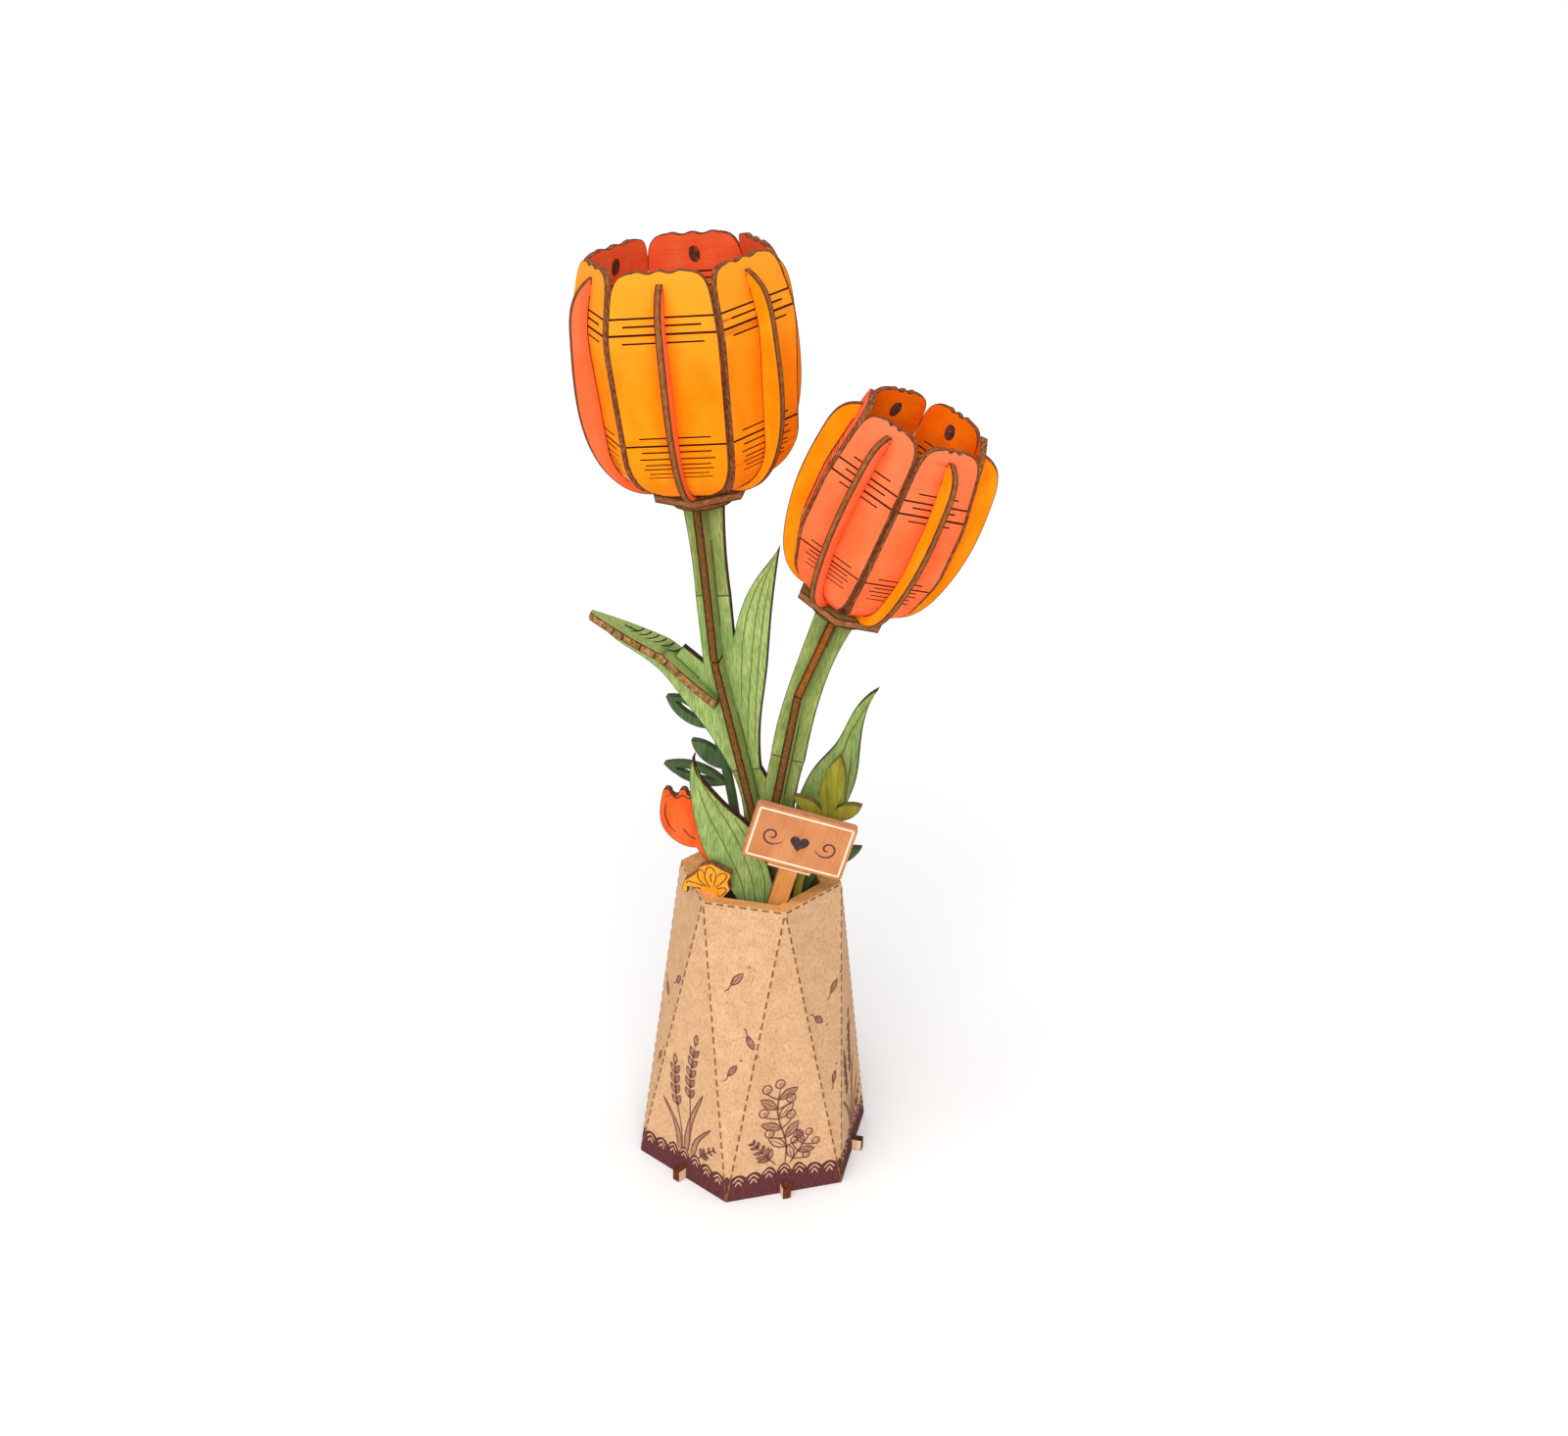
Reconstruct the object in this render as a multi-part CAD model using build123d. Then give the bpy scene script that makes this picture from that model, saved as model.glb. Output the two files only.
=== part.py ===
from build123d import *
from math import cos, radians, sin, sqrt, tan
import os

# Wooden tulips: two laser-cut plywood tulips on a forked stem, standing with
# leaves, a bud, a butterfly and a sign in a folded kraft-card vase.
# Millimetres. Origin on the table under the middle of the vase, +Z up, and
# the stem boards lie in the XZ plane with their front towards -Y.

os.makedirs("parts", exist_ok=True)

# Sheets and fits
PLY = 2.0            # plywood of the stems, leaves, plates and small pieces
THIN = 1.5           # plywood of the petals and their ribs
CARD = 0.6           # kraft card of the vase
FIT = 0.05           # clearance on each side of a slot
CLEAR = 0.3          # gap between pieces that only pass each other
OVER = 1.0           # how far a cutting shape runs past what it cuts

# Vase sleeve: a hexagon below, a smaller one turned by half a side above
SIDES = 6
VASE_HEIGHT = 75.0   # rim above the table
CARD_LIFT = 0.1      # lower edge of the card above the table
BASE_RADIUS = 29.1   # corner radius of the lower hexagon
RIM_RADIUS = 19.4    # corner radius of the rim
LIP_WIDTH = 4.2      # plan width of the lip folded in at the rim
LIP_DROP = 0.9       # fall of the lip towards the mouth

# Crossed foot boards and the deck that they carry
TAB_REACH = 2.4      # foot tab beyond the card
TAB_HEIGHT = 3.0
BRACE_HEIGHT = 15.0
TRUNK_HALF = 10.5    # half width of the trunk under the deck
DECK_TOP = -13.0     # measured from the rim of the vase
NECK_LEFT = -5.5     # neck of the fork board where it passes the deck
NECK_RIGHT = 8.0
WAIST_LEFT = (-4.4, 17.0)    # narrowest place of the fork board under the fork
WAIST_RIGHT = (7.6, 19.0)

# Stems: the centreline runs up from the fork, kinks once and ends at the calyx.
# These heights and all that follow are measured from the rim of the vase.
STEM_HALF = 3.9      # half width of a stem board
STEM_FLARE = 4.7     # half width of a stem board under the calyx
RIB_HALF = 5.5       # half depth of the stem ribs, which cross the boards
RIB_FLARE = 6.0      # half depth of a stem rib under the calyx
RIB_FOOT = 13.0      # height of the lower ends of the stem ribs
JOINT = 0.2          # half of the seam between two stem ribs at a kink
TENON_HALF = 2.6     # half width of the crossed tenon in the calyx
TALL_KINK = (-10.7, 55.0)
TALL_LEANS = (-14.5, -6.8)   # below and above the kink, degrees towards +X
TALL_SEAMS = (-29.0, 14.3)   # board seams, along the stem from the kink
TALL_RISE = 40.1             # kink to the top of the calyx plate
SHORT_KINK = (8.6, 49.0)
SHORT_LEANS = (9.0, 21.0)
SHORT_SEAM = -18.2
SHORT_RISE = 24.4
FORK = (0.9, 25.4)          # bottom of the fork
LEAF_SEAM = 3.0              # tall stem seam, from the centreline to the leaf side

# Tulip heads, measured from the head axis (first value) and the calyx plate (second)
PETALS = 6
CALYX_RADIUS = 11.1
WASHER_RADIUS = 6.6
FOOT_TAB = (6.6, 9.0)        # foot tab of a petal rib in the calyx plate, from the axis
FOOT_LUG = 10.2              # outer end of the foot that crosses the petal
PETAL_GAP = 0.08             # half of the gap between two petals
PETAL_WAVE = 0.25            # height of each wave along the top of a petal
PETAL_CREST_COUNT = 3
RIB_TAB = 2.6                # height of the upper tab of a petal rib
RIB_TAB_DROP = 3.7           # top of a petal to the tab below it
RIB_CAP = 1.2                # top of a petal rib above its tab
TAB_PROUD = 0.15             # end of the upper rib tab inside the petal
TALL_INSIDE = [(7.8, 1.6), (17.95, 5.2), (19.95, 37.8), (16.5, 52.3)]
TALL_BENDS = (11.0, 30.0)
TALL_FIN = [(18.0, 0.068), (23.4, 0.242), (25.4, 0.49), (25.0, 0.74), (23.4, 0.91)]   # height as a share
TALL_CROWN = (5.6, 8.0)      # half width of the waved top, and height of the shoulders
TALL_TURN = 4.0              # first petal from the front, about the head axis
TALL_PLATE_TURN = 4.0
SHORT_INSIDE = [(6.8, 1.35), (12.2, 5.5), (14.85, 15.8), (14.7, 28.7), (11.8, 46.7)]
SHORT_BENDS = (8.0, 20.0, 25.0)
SHORT_FIN = [(14.7, 0.058), (18.8, 0.255), (20.5, 0.53), (19.9, 0.79), (18.0, 0.945)]
SHORT_CROWN = (2.8, 7.5)
SHORT_TURN = -23.5
SHORT_PLATE_TURN = 3.5

# Bent leaf of the tall stem, held in a slot of the leaf board
BENT_LINE = [(-10.4, 43.2), (-23.2, 54.0), (-41.2, 60.8)]
BENT_RADIUS = 12.0
BENT_PLAN = [(-10.4, 3.2), (-20.0, 4.6), (-31.0, 3.6), (-41.2, 0.8)]
BENT_LAP = 5.0               # length of the slot at the root of the bent leaf

# Outlines in the XZ plane, measured from the rim
LONG_LEAF_OUT = [(-1.0, 33.5), (-0.8, 41.7), (0.1, 51.0), (0.7, 63.1), (1.6, 75.0), (2.4, 82.4)]
LONG_LEAF_IN = [(2.4, 82.4), (1.3, 80.2), (-1.3, 76.3), (-4.3, 71.0), (-6.4, 64.6), (-7.4, 59.6)]
WING_LUG = [(-14.3, 52.6), (-19.0, 56.0), (-21.0, 53.4)]
WING_TIP = (-39.4, 61.0)
WING_BELOW = [(-34.5, 55.6), (-29.9, 53.0), (-24.1, 49.0), (-19.4, 43.4), (-14.7, 37.6),
              (-10.0, 30.8)]

# Pieces that stand in the deck: distance from the stem boards, then outlines
TENON = 3.0                  # width of their tenons in the deck
STALK = 1.8                  # width of the thin stalks
FRONT_LEAF_Y = -7.5
FRONT_LEAF_FOOT = 0.5        # middle of its tenon
FRONT_LEAF_LEFT = [(-2.0, DECK_TOP), (-5.4, -0.8), (-9.2, 3.9), (-12.3, 10.0), (-14.5, 18.7),
                   (-15.3, 26.1), (-14.4, 33.0)]
FRONT_LEAF_RIGHT = [(-14.4, 33.0), (-13.4, 27.7), (-10.6, 24.3), (-6.0, 19.9), (-1.3, 16.2),
                    (2.3, 9.6), (4.9, 0.9), (3.0, DECK_TOP)]
RIGHT_LEAF_Y = 5.0
RIGHT_LEAF_FOOT = 5.2
RIGHT_LEAF_LEFT = [(3.0, DECK_TOP), (5.6, 3.0), (7.8, 19.1), (11.9, 27.9), (15.6, 33.0),
                   (18.5, 39.6), (25.2, 48.6)]
RIGHT_LEAF_RIGHT = [(25.2, 48.6), (22.8, 43.0), (21.6, 36.0), (20.6, 23.5), (17.0, 14.0),
                    (10.4, 1.0), (7.5, DECK_TOP)]
OLIVE_Y = -5.0
OLIVE_LEAFLETS = [((16.0, 19.5), (18.9, 35.8), 5.4), ((16.2, 19.6), (8.4, 24.1), 3.4),
                  ((16.4, 19.4), (24.3, 23.6), 3.6)]
OLIVE_STALK = [(9.0, DECK_TOP), (10.4, 1.0), (16.3, 22.0)]
DARK_Y = 5.0
DARK_LEAFLETS = [((-12.6, 33.8), (-24.4, 40.5), 5.4), ((-9.6, 23.6), (-18.3, 30.0), 4.2),
                 ((-9.4, 19.6), (-24.9, 23.0), 5.0)]
DARK_SLITS = [((-15.4, 35.7), (-22.3, 39.7), 1.6), ((-12.4, 20.4), (-22.2, 22.4), 1.5)]
DARK_STALK = [(-5.6, DECK_TOP), (-6.2, 1.0), (-9.4, 21.0), (-13.4, 36.0)]
LOW_Y = 2.4
LOW_LEAFLETS = [((13.0, 2.2), (23.5, 8.7), 3.6)]
LOW_STALK = [(10.2, DECK_TOP), (10.8, -3.0), (14.4, 3.4)]
BUD_Y = -4.0
BUD_LEFT = [(-14.0, 7.0), (-19.4, 7.9), (-22.7, 11.6), (-23.2, 16.7), (-22.6, 20.4)]
BUD_RIGHT = [(-13.0, 21.4), (-11.6, 16.0), (-11.8, 10.7), (-14.0, 7.0)]
BUD_CREST_COUNT = 3
BUD_WAVE = 0.9
BUD_STALK = [(-8.0, DECK_TOP), (-9.3, 0.0), (-14.2, 8.0)]
BUTTERFLY_Y = -10.5
BUTTERFLY = [(-16.1, -0.9), (-15.6, 1.5), (-13.3, 3.5), (-11.7, 6.0), (-9.1, 7.0), (-6.8, 5.8),
             (-4.2, 4.8), (-5.2, 2.6), (-4.6, 0.6), (-6.4, -2.0), (-9.5, -3.0), (-13.0, -2.8)]
WING_ROUND = 0.7             # rounding of the butterfly outline

# Sign on its stake, turned towards the viewer and tilted
SIGN_CENTRE = (11.4, -11.4, 16.2)
SIGN_TURN = 12.0
SIGN_TILT = 15.0
SIGN_WIDTH = 23.6
SIGN_HEIGHT = 14.0
SIGN_CORNER = 0.8
STAKE_HALF = 2.2
STAKE_BAR = (5.2, -9.0, -4.0)    # half width and local heights of the cross bar

# Derived values
SIDE_TURN = 360 / SIDES
PETAL_TURN = 360 / PETALS
COS_HALF = cos(radians(SIDE_TURN / 2))
TAN_PETAL = tan(radians(PETAL_TURN / 2))
WALL = CARD / COS_HALF
RIM_SLOPE = tan(radians(SIDE_TURN / 2))   # slant of a side rim edge in plan
MOUTH_RADIUS = RIM_RADIUS - LIP_WIDTH / COS_HALF
DECK_BASE = DECK_TOP - PLY
CALYX_DEPTH = 2 * PLY
CROSSING = PLY * (1 + cos(radians(SIDE_TURN))) / sin(radians(SIDE_TURN)) + 2 * FIT
RIM_PLACE = Pos(0, 0, VASE_HEIGHT)


def ring(radius, height, turn=0.0):
    """Corners of a level hexagon round the vase axis."""
    angles = [radians(turn + SIDE_TURN * k) for k in range(SIDES)]
    return [Vector(radius * cos(a), radius * sin(a), height) for a in angles]


def rise_share(height):
    return (height - CARD_LIFT) / (VASE_HEIGHT - CARD_LIFT)


def standing_reach(height):
    """Inside of a panel that stands on a lower edge, from the axis."""
    share = rise_share(height)
    return (BASE_RADIUS - WALL) * COS_HALF * (1 - share) + (RIM_RADIUS - WALL) * share


def hanging_reach(height):
    """Inside of a panel that hangs from a rim edge, from the axis."""
    share = rise_share(height)
    return (BASE_RADIUS - WALL) * (1 - share) + (RIM_RADIUS - WALL) * COS_HALF * share


def panel(*corners):
    return Face(Wire.make_polygon(corners))


def sheet(face, thickness=PLY):
    """Flat piece cut to an outline drawn in the XZ plane."""
    return extrude(Plane.XZ * face, amount=thickness / 2, both=True)


def block(x_span, y_span, z_span):
    """Box between two values on each axis."""
    spans = (x_span, y_span, z_span)
    middle = [sum(span) / 2 for span in spans]
    return Pos(*middle) * Box(*[span[1] - span[0] for span in spans])


def waved(start, end, crests, height):
    """Row of arcs along a line, bulging to its left and right by turns."""
    start, end = Vector(*start), Vector(*end)
    count = 2 * crests - 1
    step = (end - start) / count
    bulge = Vector(-step.Y, step.X).normalized() * height
    arcs = []
    for k in range(count):
        corner = start + step * k
        arcs.append(ThreePointArc(corner, corner + step / 2 + bulge * (-1) ** k, corner + step))
    return arcs


def vase_sleeve():
    """Twelve triangular card panels, with a lip folded in round the mouth."""
    fall = LIP_DROP / LIP_WIDTH
    outer_foot = ring(BASE_RADIUS, CARD_LIFT, SIDE_TURN / 2)
    inner_foot = ring(BASE_RADIUS - WALL, CARD_LIFT, SIDE_TURN / 2)
    outer_rim = ring(RIM_RADIUS, VASE_HEIGHT)
    inner_rim = ring(RIM_RADIUS - WALL, VASE_HEIGHT - CARD * (1 + fall))
    mouth_top = ring(MOUTH_RADIUS, VASE_HEIGHT - LIP_DROP)
    mouth_low = ring(MOUTH_RADIUS, VASE_HEIGHT - LIP_DROP - CARD)
    faces = []
    for k in range(SIDES):
        n = (k + 1) % SIDES
        for foot, rim in ((outer_foot, outer_rim), (inner_foot, inner_rim)):
            faces.append(panel(foot[k], foot[n], rim[n]))
            faces.append(panel(rim[k], rim[n], foot[k]))
        for low, high in ((outer_rim, mouth_top), (mouth_top, mouth_low),
                          (mouth_low, inner_rim), (inner_foot, outer_foot)):
            faces.append(panel(low[k], low[n], high[n], high[k]))
    sleeve = Solid(Shell(faces))
    notch = block((0, BASE_RADIUS + OVER), (-PLY / 2 - FIT, PLY / 2 + FIT), (0, TAB_HEIGHT + FIT))
    for k in range(SIDES):
        sleeve -= Rot(0, 0, SIDE_TURN * k) * notch
    return sleeve - lip_slot() - RIM_PLACE * sign_place() * stake_shaft(CLEAR)


def rim_left(radius, distance):
    """Left front edge of a rim hexagon, at a distance in front of the axis."""
    return distance * RIM_SLOPE - radius


def butterfly_notch():
    """Span of the butterfly's notch over the card at the rim."""
    front, back = PLY / 2 - BUTTERFLY_Y, -PLY / 2 - BUTTERFLY_Y
    depth = -min(z for x, z in BUTTERFLY)
    spread = (BASE_RADIUS - RIM_RADIUS * COS_HALF) / (VASE_HEIGHT - CARD_LIFT) / COS_HALF
    return rim_left(RIM_RADIUS, back) - depth * spread - CLEAR, rim_left(RIM_RADIUS - WALL, front) + CLEAR


def lip_slot():
    """Slot in the folded lip that the butterfly hangs through."""
    half = PLY / 2 + FIT
    mouth = rim_left(MOUTH_RADIUS, PLY / 2 - BUTTERFLY_Y)
    wide = (butterfly_notch()[1] - CLEAR, mouth + OVER)
    return block(wide, (BUTTERFLY_Y - half, BUTTERFLY_Y + half), (VASE_HEIGHT - 2 * LIP_DROP, VASE_HEIGHT))


def brace_face():
    """Foot board outline: two foot tabs, and ends that follow the card."""
    tab = BASE_RADIUS * COS_HALF + TAB_REACH
    low = standing_reach(TAB_HEIGHT) - CLEAR
    high = standing_reach(BRACE_HEIGHT) - CLEAR
    half = [(tab, 0), (tab, TAB_HEIGHT), (low, TAB_HEIGHT), (high, BRACE_HEIGHT)]
    return make_face(Polyline(*half, *[(-x, z) for x, z in reversed(half)], close=True))


def brace(kept_band, turn):
    """Foot board that keeps one of three bands where the boards cross."""
    low, high = [BRACE_HEIGHT * band / 3 for band in (kept_band, kept_band + 1)]
    solid = sheet(brace_face())
    solid -= block((-CROSSING / 2, CROSSING / 2), (-PLY, PLY), (low - BRACE_HEIGHT, low))
    solid -= block((-CROSSING / 2, CROSSING / 2), (-PLY, PLY), (high, high + BRACE_HEIGHT))
    return Rot(0, 0, turn) * solid


class Stem:
    """Kinked centreline of one stem, in the XZ plane."""

    def __init__(self, kink, leans, rise):
        self.kink = kink
        self.low_lean, self.top_lean = leans
        self.rise = rise
        self.shoulder = rise - CALYX_DEPTH
        self.foot = (RIB_FOOT - kink[1]) / cos(radians(self.low_lean))

    def point(self, across, along):
        """Place beside the centreline, counted along it from the kink."""
        lean = radians(self.top_lean if along > 0 else self.low_lean)
        x = self.kink[0] + along * sin(lean) + across * cos(lean)
        return (x, self.kink[1] + along * cos(lean) - across * sin(lean))

    def low_place(self):
        return Pos(self.kink[0], 0, self.kink[1]) * Rot(0, self.low_lean, 0)

    def top_place(self):
        return Pos(self.kink[0], 0, self.kink[1]) * Rot(0, self.top_lean, 0)

    def head_place(self):
        return self.top_place() * Pos(0, 0, self.rise)


TALL = Stem(TALL_KINK, TALL_LEANS, TALL_RISE)
SHORT = Stem(SHORT_KINK, SHORT_LEANS, SHORT_RISE)


def cross_lap(board, rib, place, span, board_opens_low):
    """Halve a stem board and a rib into each other over a stretch of the stem."""
    low, high = span
    middle = (low + high) / 2
    spans = [(low - OVER, middle), (middle, high + OVER)]
    board_span, rib_span = spans if board_opens_low else reversed(spans)
    slot = (-PLY / 2 - FIT, PLY / 2 + FIT)
    wide = (-RIB_FLARE, RIB_FLARE)
    board -= place * block(slot, wide, board_span)
    rib -= place * block(wide, slot, rib_span)
    return board, rib


def lower_rib(stem):
    face = Pos(0, (stem.foot - JOINT) / 2) * RectangleRounded(2 * RIB_HALF, -stem.foot - JOINT, PLY / 2)
    return stem.low_place() * extrude(Plane.YZ * face, amount=PLY / 2, both=True)


def flared_face(start, stem, half, flare):
    """Stem outline from a seam up to the calyx, with the tenon on top."""
    middle = (start + stem.shoulder) / 2
    sides = []
    for sign in (1, -1):
        sides.append(Spline((sign * half, start), (sign * half, middle), (sign * flare, stem.shoulder)))
    ends = [Line((-half, start), (half, start)), Line((-flare, stem.shoulder), (flare, stem.shoulder))]
    tenon = Pos(0, (stem.shoulder + stem.rise) / 2 - FIT) * Rectangle(2 * TENON_HALF, CALYX_DEPTH + 2 * FIT)
    return make_face(sides + ends) + tenon


def upper_rib(stem):
    face = flared_face(JOINT, stem, RIB_HALF, RIB_FLARE)
    return stem.top_place() * extrude(Plane.YZ * face, amount=PLY / 2, both=True)


def fork_board():
    """Foot, trunk, deck shoulders and the two arms that the stems grow from."""
    tall_seam = [TALL.point(across, TALL_SEAMS[0]) for across in (-STEM_HALF, LEAF_SEAM)]
    short_seam = [SHORT.point(across, SHORT_SEAM) for across in (-STEM_HALF, STEM_HALF)]
    neck_left = (NECK_LEFT, DECK_BASE)
    neck_right = (NECK_RIGHT, DECK_BASE)
    outline = [
        Spline(neck_left, (NECK_LEFT, DECK_TOP + CLEAR), WAIST_LEFT, tall_seam[0]),
        Line(*tall_seam),
        Line(tall_seam[1], FORK),
        Line(FORK, short_seam[0]),
        Line(*short_seam),
        Spline(short_seam[1], WAIST_RIGHT, (NECK_RIGHT, DECK_TOP + CLEAR), neck_right),
        Line(neck_right, neck_left),
    ]
    trunk_foot = BRACE_HEIGHT - VASE_HEIGHT - OVER
    trunk = Pos(0, (trunk_foot + DECK_BASE) / 2) * Rectangle(2 * TRUNK_HALF, DECK_BASE - trunk_foot)
    solid = sheet(make_face(outline) + trunk + Pos(0, -VASE_HEIGHT) * brace_face())
    crossing = block((-CROSSING / 2, CROSSING / 2), (-PLY, PLY), (-OVER, BRACE_HEIGHT * 2 / 3))
    return solid - Pos(0, 0, -VASE_HEIGHT) * crossing


def bent_band(grow):
    """Bent leaf seen from the front, thickened by a clearance."""
    line = FilletPolyline(*BENT_LINE, radius=BENT_RADIUS)
    return make_face(line.offset_2d(PLY / 2 + grow, side=Side.LEFT)) + make_face(
        line.offset_2d(PLY / 2 + grow, side=Side.RIGHT))


def bent_leaf():
    """Leaf across the leaf board, bent up over its kerfs."""
    upper = Spline(*BENT_PLAN)
    lower = Spline(*[(x, -y) for x, y in BENT_PLAN])
    ends = [Line(upper @ 0, lower @ 0), Line(upper @ 1, lower @ 1)]
    plan = extrude(make_face([upper, lower] + ends), amount=TALL_KINK[1] + 2 * BENT_RADIUS)
    leaf = extrude(Plane.XZ * bent_band(0), amount=RIB_HALF, both=True) & plan
    return leaf - bent_root(PLY / 2 + FIT)


def bent_root(half):
    """Stretch where the leaf board passes through the root of the bent leaf."""
    x, z = BENT_LINE[0]
    return block((x - BENT_LAP, x + OVER), (-half, half), (z - BENT_LAP, z + 2 * BENT_LAP))


def leaf_board():
    """Tall stem board with the long leaf and the wing that holds the bent leaf."""
    low, high = TALL_SEAMS
    seam = [TALL.point(across, low) for across in (-STEM_HALF, LEAF_SEAM)]
    crown = [TALL.point(across, high) for across in (-STEM_HALF, STEM_HALF)]
    notch = LONG_LEAF_IN[-1]
    outline = [
        Line(*seam),
        Spline(seam[1], *LONG_LEAF_OUT),
        Spline(*LONG_LEAF_IN),
        Line(notch, crown[1]),
        Line(crown[1], crown[0]),
        Line(crown[0], WING_LUG[0]),
        Polyline(*WING_LUG, WING_TIP),
        Spline(WING_TIP, *WING_BELOW, seam[0]),
    ]
    slot = sheet(bent_band(FIT), 2 * PLY) - bent_root(2 * PLY)
    return sheet(make_face(outline)) - slot


def top_board():
    """Tall stem board between the leaf board and the calyx."""
    return TALL.top_place() * sheet(flared_face(TALL_SEAMS[1], TALL, STEM_HALF, STEM_FLARE))


def short_board():
    """Short stem board, bent to the head, with the calyx tenon."""
    stations = [SHORT_SEAM, SHORT_SEAM / 2, SHORT.shoulder / 2]
    sides = []
    for sign in (1, -1):
        points = [SHORT.point(sign * STEM_HALF, along) for along in stations]
        sides.append(Spline(*points, SHORT.point(sign * STEM_FLARE, SHORT.shoulder)))
    ends = [Line(sides[0] @ end, sides[1] @ end) for end in (0, 1)]
    tenon = block((-TENON_HALF, TENON_HALF), (-PLY / 2, PLY / 2), (SHORT.shoulder - OVER, SHORT.rise))
    return sheet(make_face(sides + ends)) + SHORT.top_place() * tenon


def calyx_hole():
    """Crossed hole for the tenons of a stem board and its rib."""
    reach = TENON_HALF + FIT
    slot = PLY / 2 + FIT
    depth = (-CALYX_DEPTH - OVER, OVER)
    return block((-reach, reach), (-slot, slot), depth) + block((-slot, slot), (-reach, reach), depth)


class Head:
    """Shape of one tulip head: petal profile, rib outline, tab and turns."""

    def __init__(self, inside, bends, fin, crown, turns):
        self.inside = inside
        self.bends = bends
        self.crown_half, shoulder_height = crown
        self.turn, self.plate_turn = turns
        self.top = inside[-1][1] - OVER
        self.shoulder = self.top - shoulder_height
        self.tab = (self.top - RIB_TAB_DROP - RIB_TAB, self.top - RIB_TAB_DROP)
        rib_top = self.tab[1] + RIB_CAP
        self.fin = [(FOOT_LUG, 0)] + [(reach, share * rib_top) for reach, share in fin]
        self.fin.append((self.outside(rib_top), rib_top))

    def reach(self, height):
        """Inside of a petal from the axis, on the straight stretch at its top."""
        (low_reach, low), (high_reach, high) = self.inside[-2:]
        return low_reach + (high_reach - low_reach) * (height - low) / (high - low)

    def outside(self, height):
        """Outside of a petal from the axis, on the same stretch."""
        (low_reach, low), (high_reach, high) = self.inside[-2:]
        slant = (high_reach - low_reach) / (high - low)
        return self.reach(height) + THIN * sqrt(1 + slant * slant) + FIT

    def half_width(self, height):
        return self.reach(height) * TAN_PETAL - PETAL_GAP


TALL_HEAD = Head(TALL_INSIDE, TALL_BENDS, TALL_FIN, TALL_CROWN, (TALL_TURN, TALL_PLATE_TURN))
SHORT_HEAD = Head(SHORT_INSIDE, SHORT_BENDS, SHORT_FIN, SHORT_CROWN, (SHORT_TURN, SHORT_PLATE_TURN))


def calyx_plate(head):
    """Hexagon under the petals, with a slot for each petal rib."""
    plate = Pos(0, 0, -PLY) * extrude(RegularPolygon(CALYX_RADIUS, SIDES), amount=PLY)
    plate = Rot(0, 0, head.plate_turn - SIDE_TURN / 2) * plate - calyx_hole()
    half = THIN / 2 + FIT
    slot = block((FOOT_TAB[0] - FIT, FOOT_TAB[1] + FIT), (-half, half), (-2 * PLY, PLY))
    for k in range(PETALS):
        plate -= Rot(0, 0, front_turn(head, k)) * slot
    return plate


def calyx_washer():
    disc = Pos(0, 0, -CALYX_DEPTH) * extrude(Circle(WASHER_RADIUS), amount=PLY)
    return disc - calyx_hole()


def front_turn(head, k):
    """Turn about the head axis that puts the first petal to the front."""
    return head.turn - 90 + PETAL_TURN * k


def petal_line(head, outward):
    """Petal profile from its foot to its top, offset away from the axis."""
    line = FilletPolyline(*head.inside, radius=head.bends)
    if outward == 0:
        return line
    return line.offset_2d(outward, side=Side.RIGHT, closed=False)


def inside_petal(head, outward):
    """Profile region between the head axis and a petal."""
    line = petal_line(head, outward)
    foot, top = sorted((line @ 0, line @ 1), key=lambda end: end.Y)
    ends = Polyline((top.X, top.Y), (0, top.Y), (0, foot.Y), (foot.X, foot.Y))
    return make_face(line.edges() + ends.edges())


def petal_outline(head):
    """Petal seen from the front: its edges follow the corners of the six-sided cup."""
    foot_reach, foot_height = head.inside[0]
    below = Pos(0, head.shoulder / 2) * Rectangle(4 * CALYX_RADIUS, head.shoulder)
    half = Pos(-PETAL_GAP, 0) * scale(inside_petal(head, 0), by=(TAN_PETAL, 1, 1)) & below
    foot = Rectangle(2 * (foot_reach * TAN_PETAL - PETAL_GAP), foot_height)
    return half + mirror(half, Plane.YZ) + Pos(0, foot_height / 2) * foot + crown(head)


def crown(head):
    """Round shoulders and waved top of a petal."""
    wide = head.half_width(head.shoulder)
    inward = head.half_width(head.top) - wide
    low = head.top - PETAL_WAVE
    sides = []
    for sign in (1, -1):
        start = (sign * wide, head.shoulder)
        directions = ((sign * inward, head.top - head.shoulder), (-sign, 0))
        sides.append(Spline(start, (sign * head.crown_half, low), tangents=directions))
    crest = waved((-head.crown_half, low), (head.crown_half, low), PETAL_CREST_COUNT, PETAL_WAVE)
    return make_face([*sides, *crest, Line(sides[0] @ 0, sides[1] @ 0)])


def petal(head):
    """Petal bent one way only, slotted for the foot and the tab of its rib."""
    profile = make_face(petal_line(head, 0).offset_2d(THIN, side=Side.RIGHT))
    band = extrude(Plane.XZ * profile, amount=2 * CALYX_RADIUS, both=True)
    front = Plane(origin=(0, 0, 0), x_dir=(0, 1, 0), z_dir=(1, 0, 0)) * petal_outline(head)
    solid = band & extrude(front, amount=3 * CALYX_RADIUS)
    half = THIN / 2 + FIT
    return solid - rib_tab(head, FIT) - block((0, FOOT_LUG + FIT), (-half, half), (-OVER, 2 * PLY))


def rib_tab(head, grow):
    """Upper tab of a petal rib, through the petal."""
    low, high = head.tab
    half = THIN / 2 + grow
    span = (head.reach(high) - THIN, head.outside(low) + CLEAR)
    return block(span, (-half, half), (low - grow, high + grow))


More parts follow.
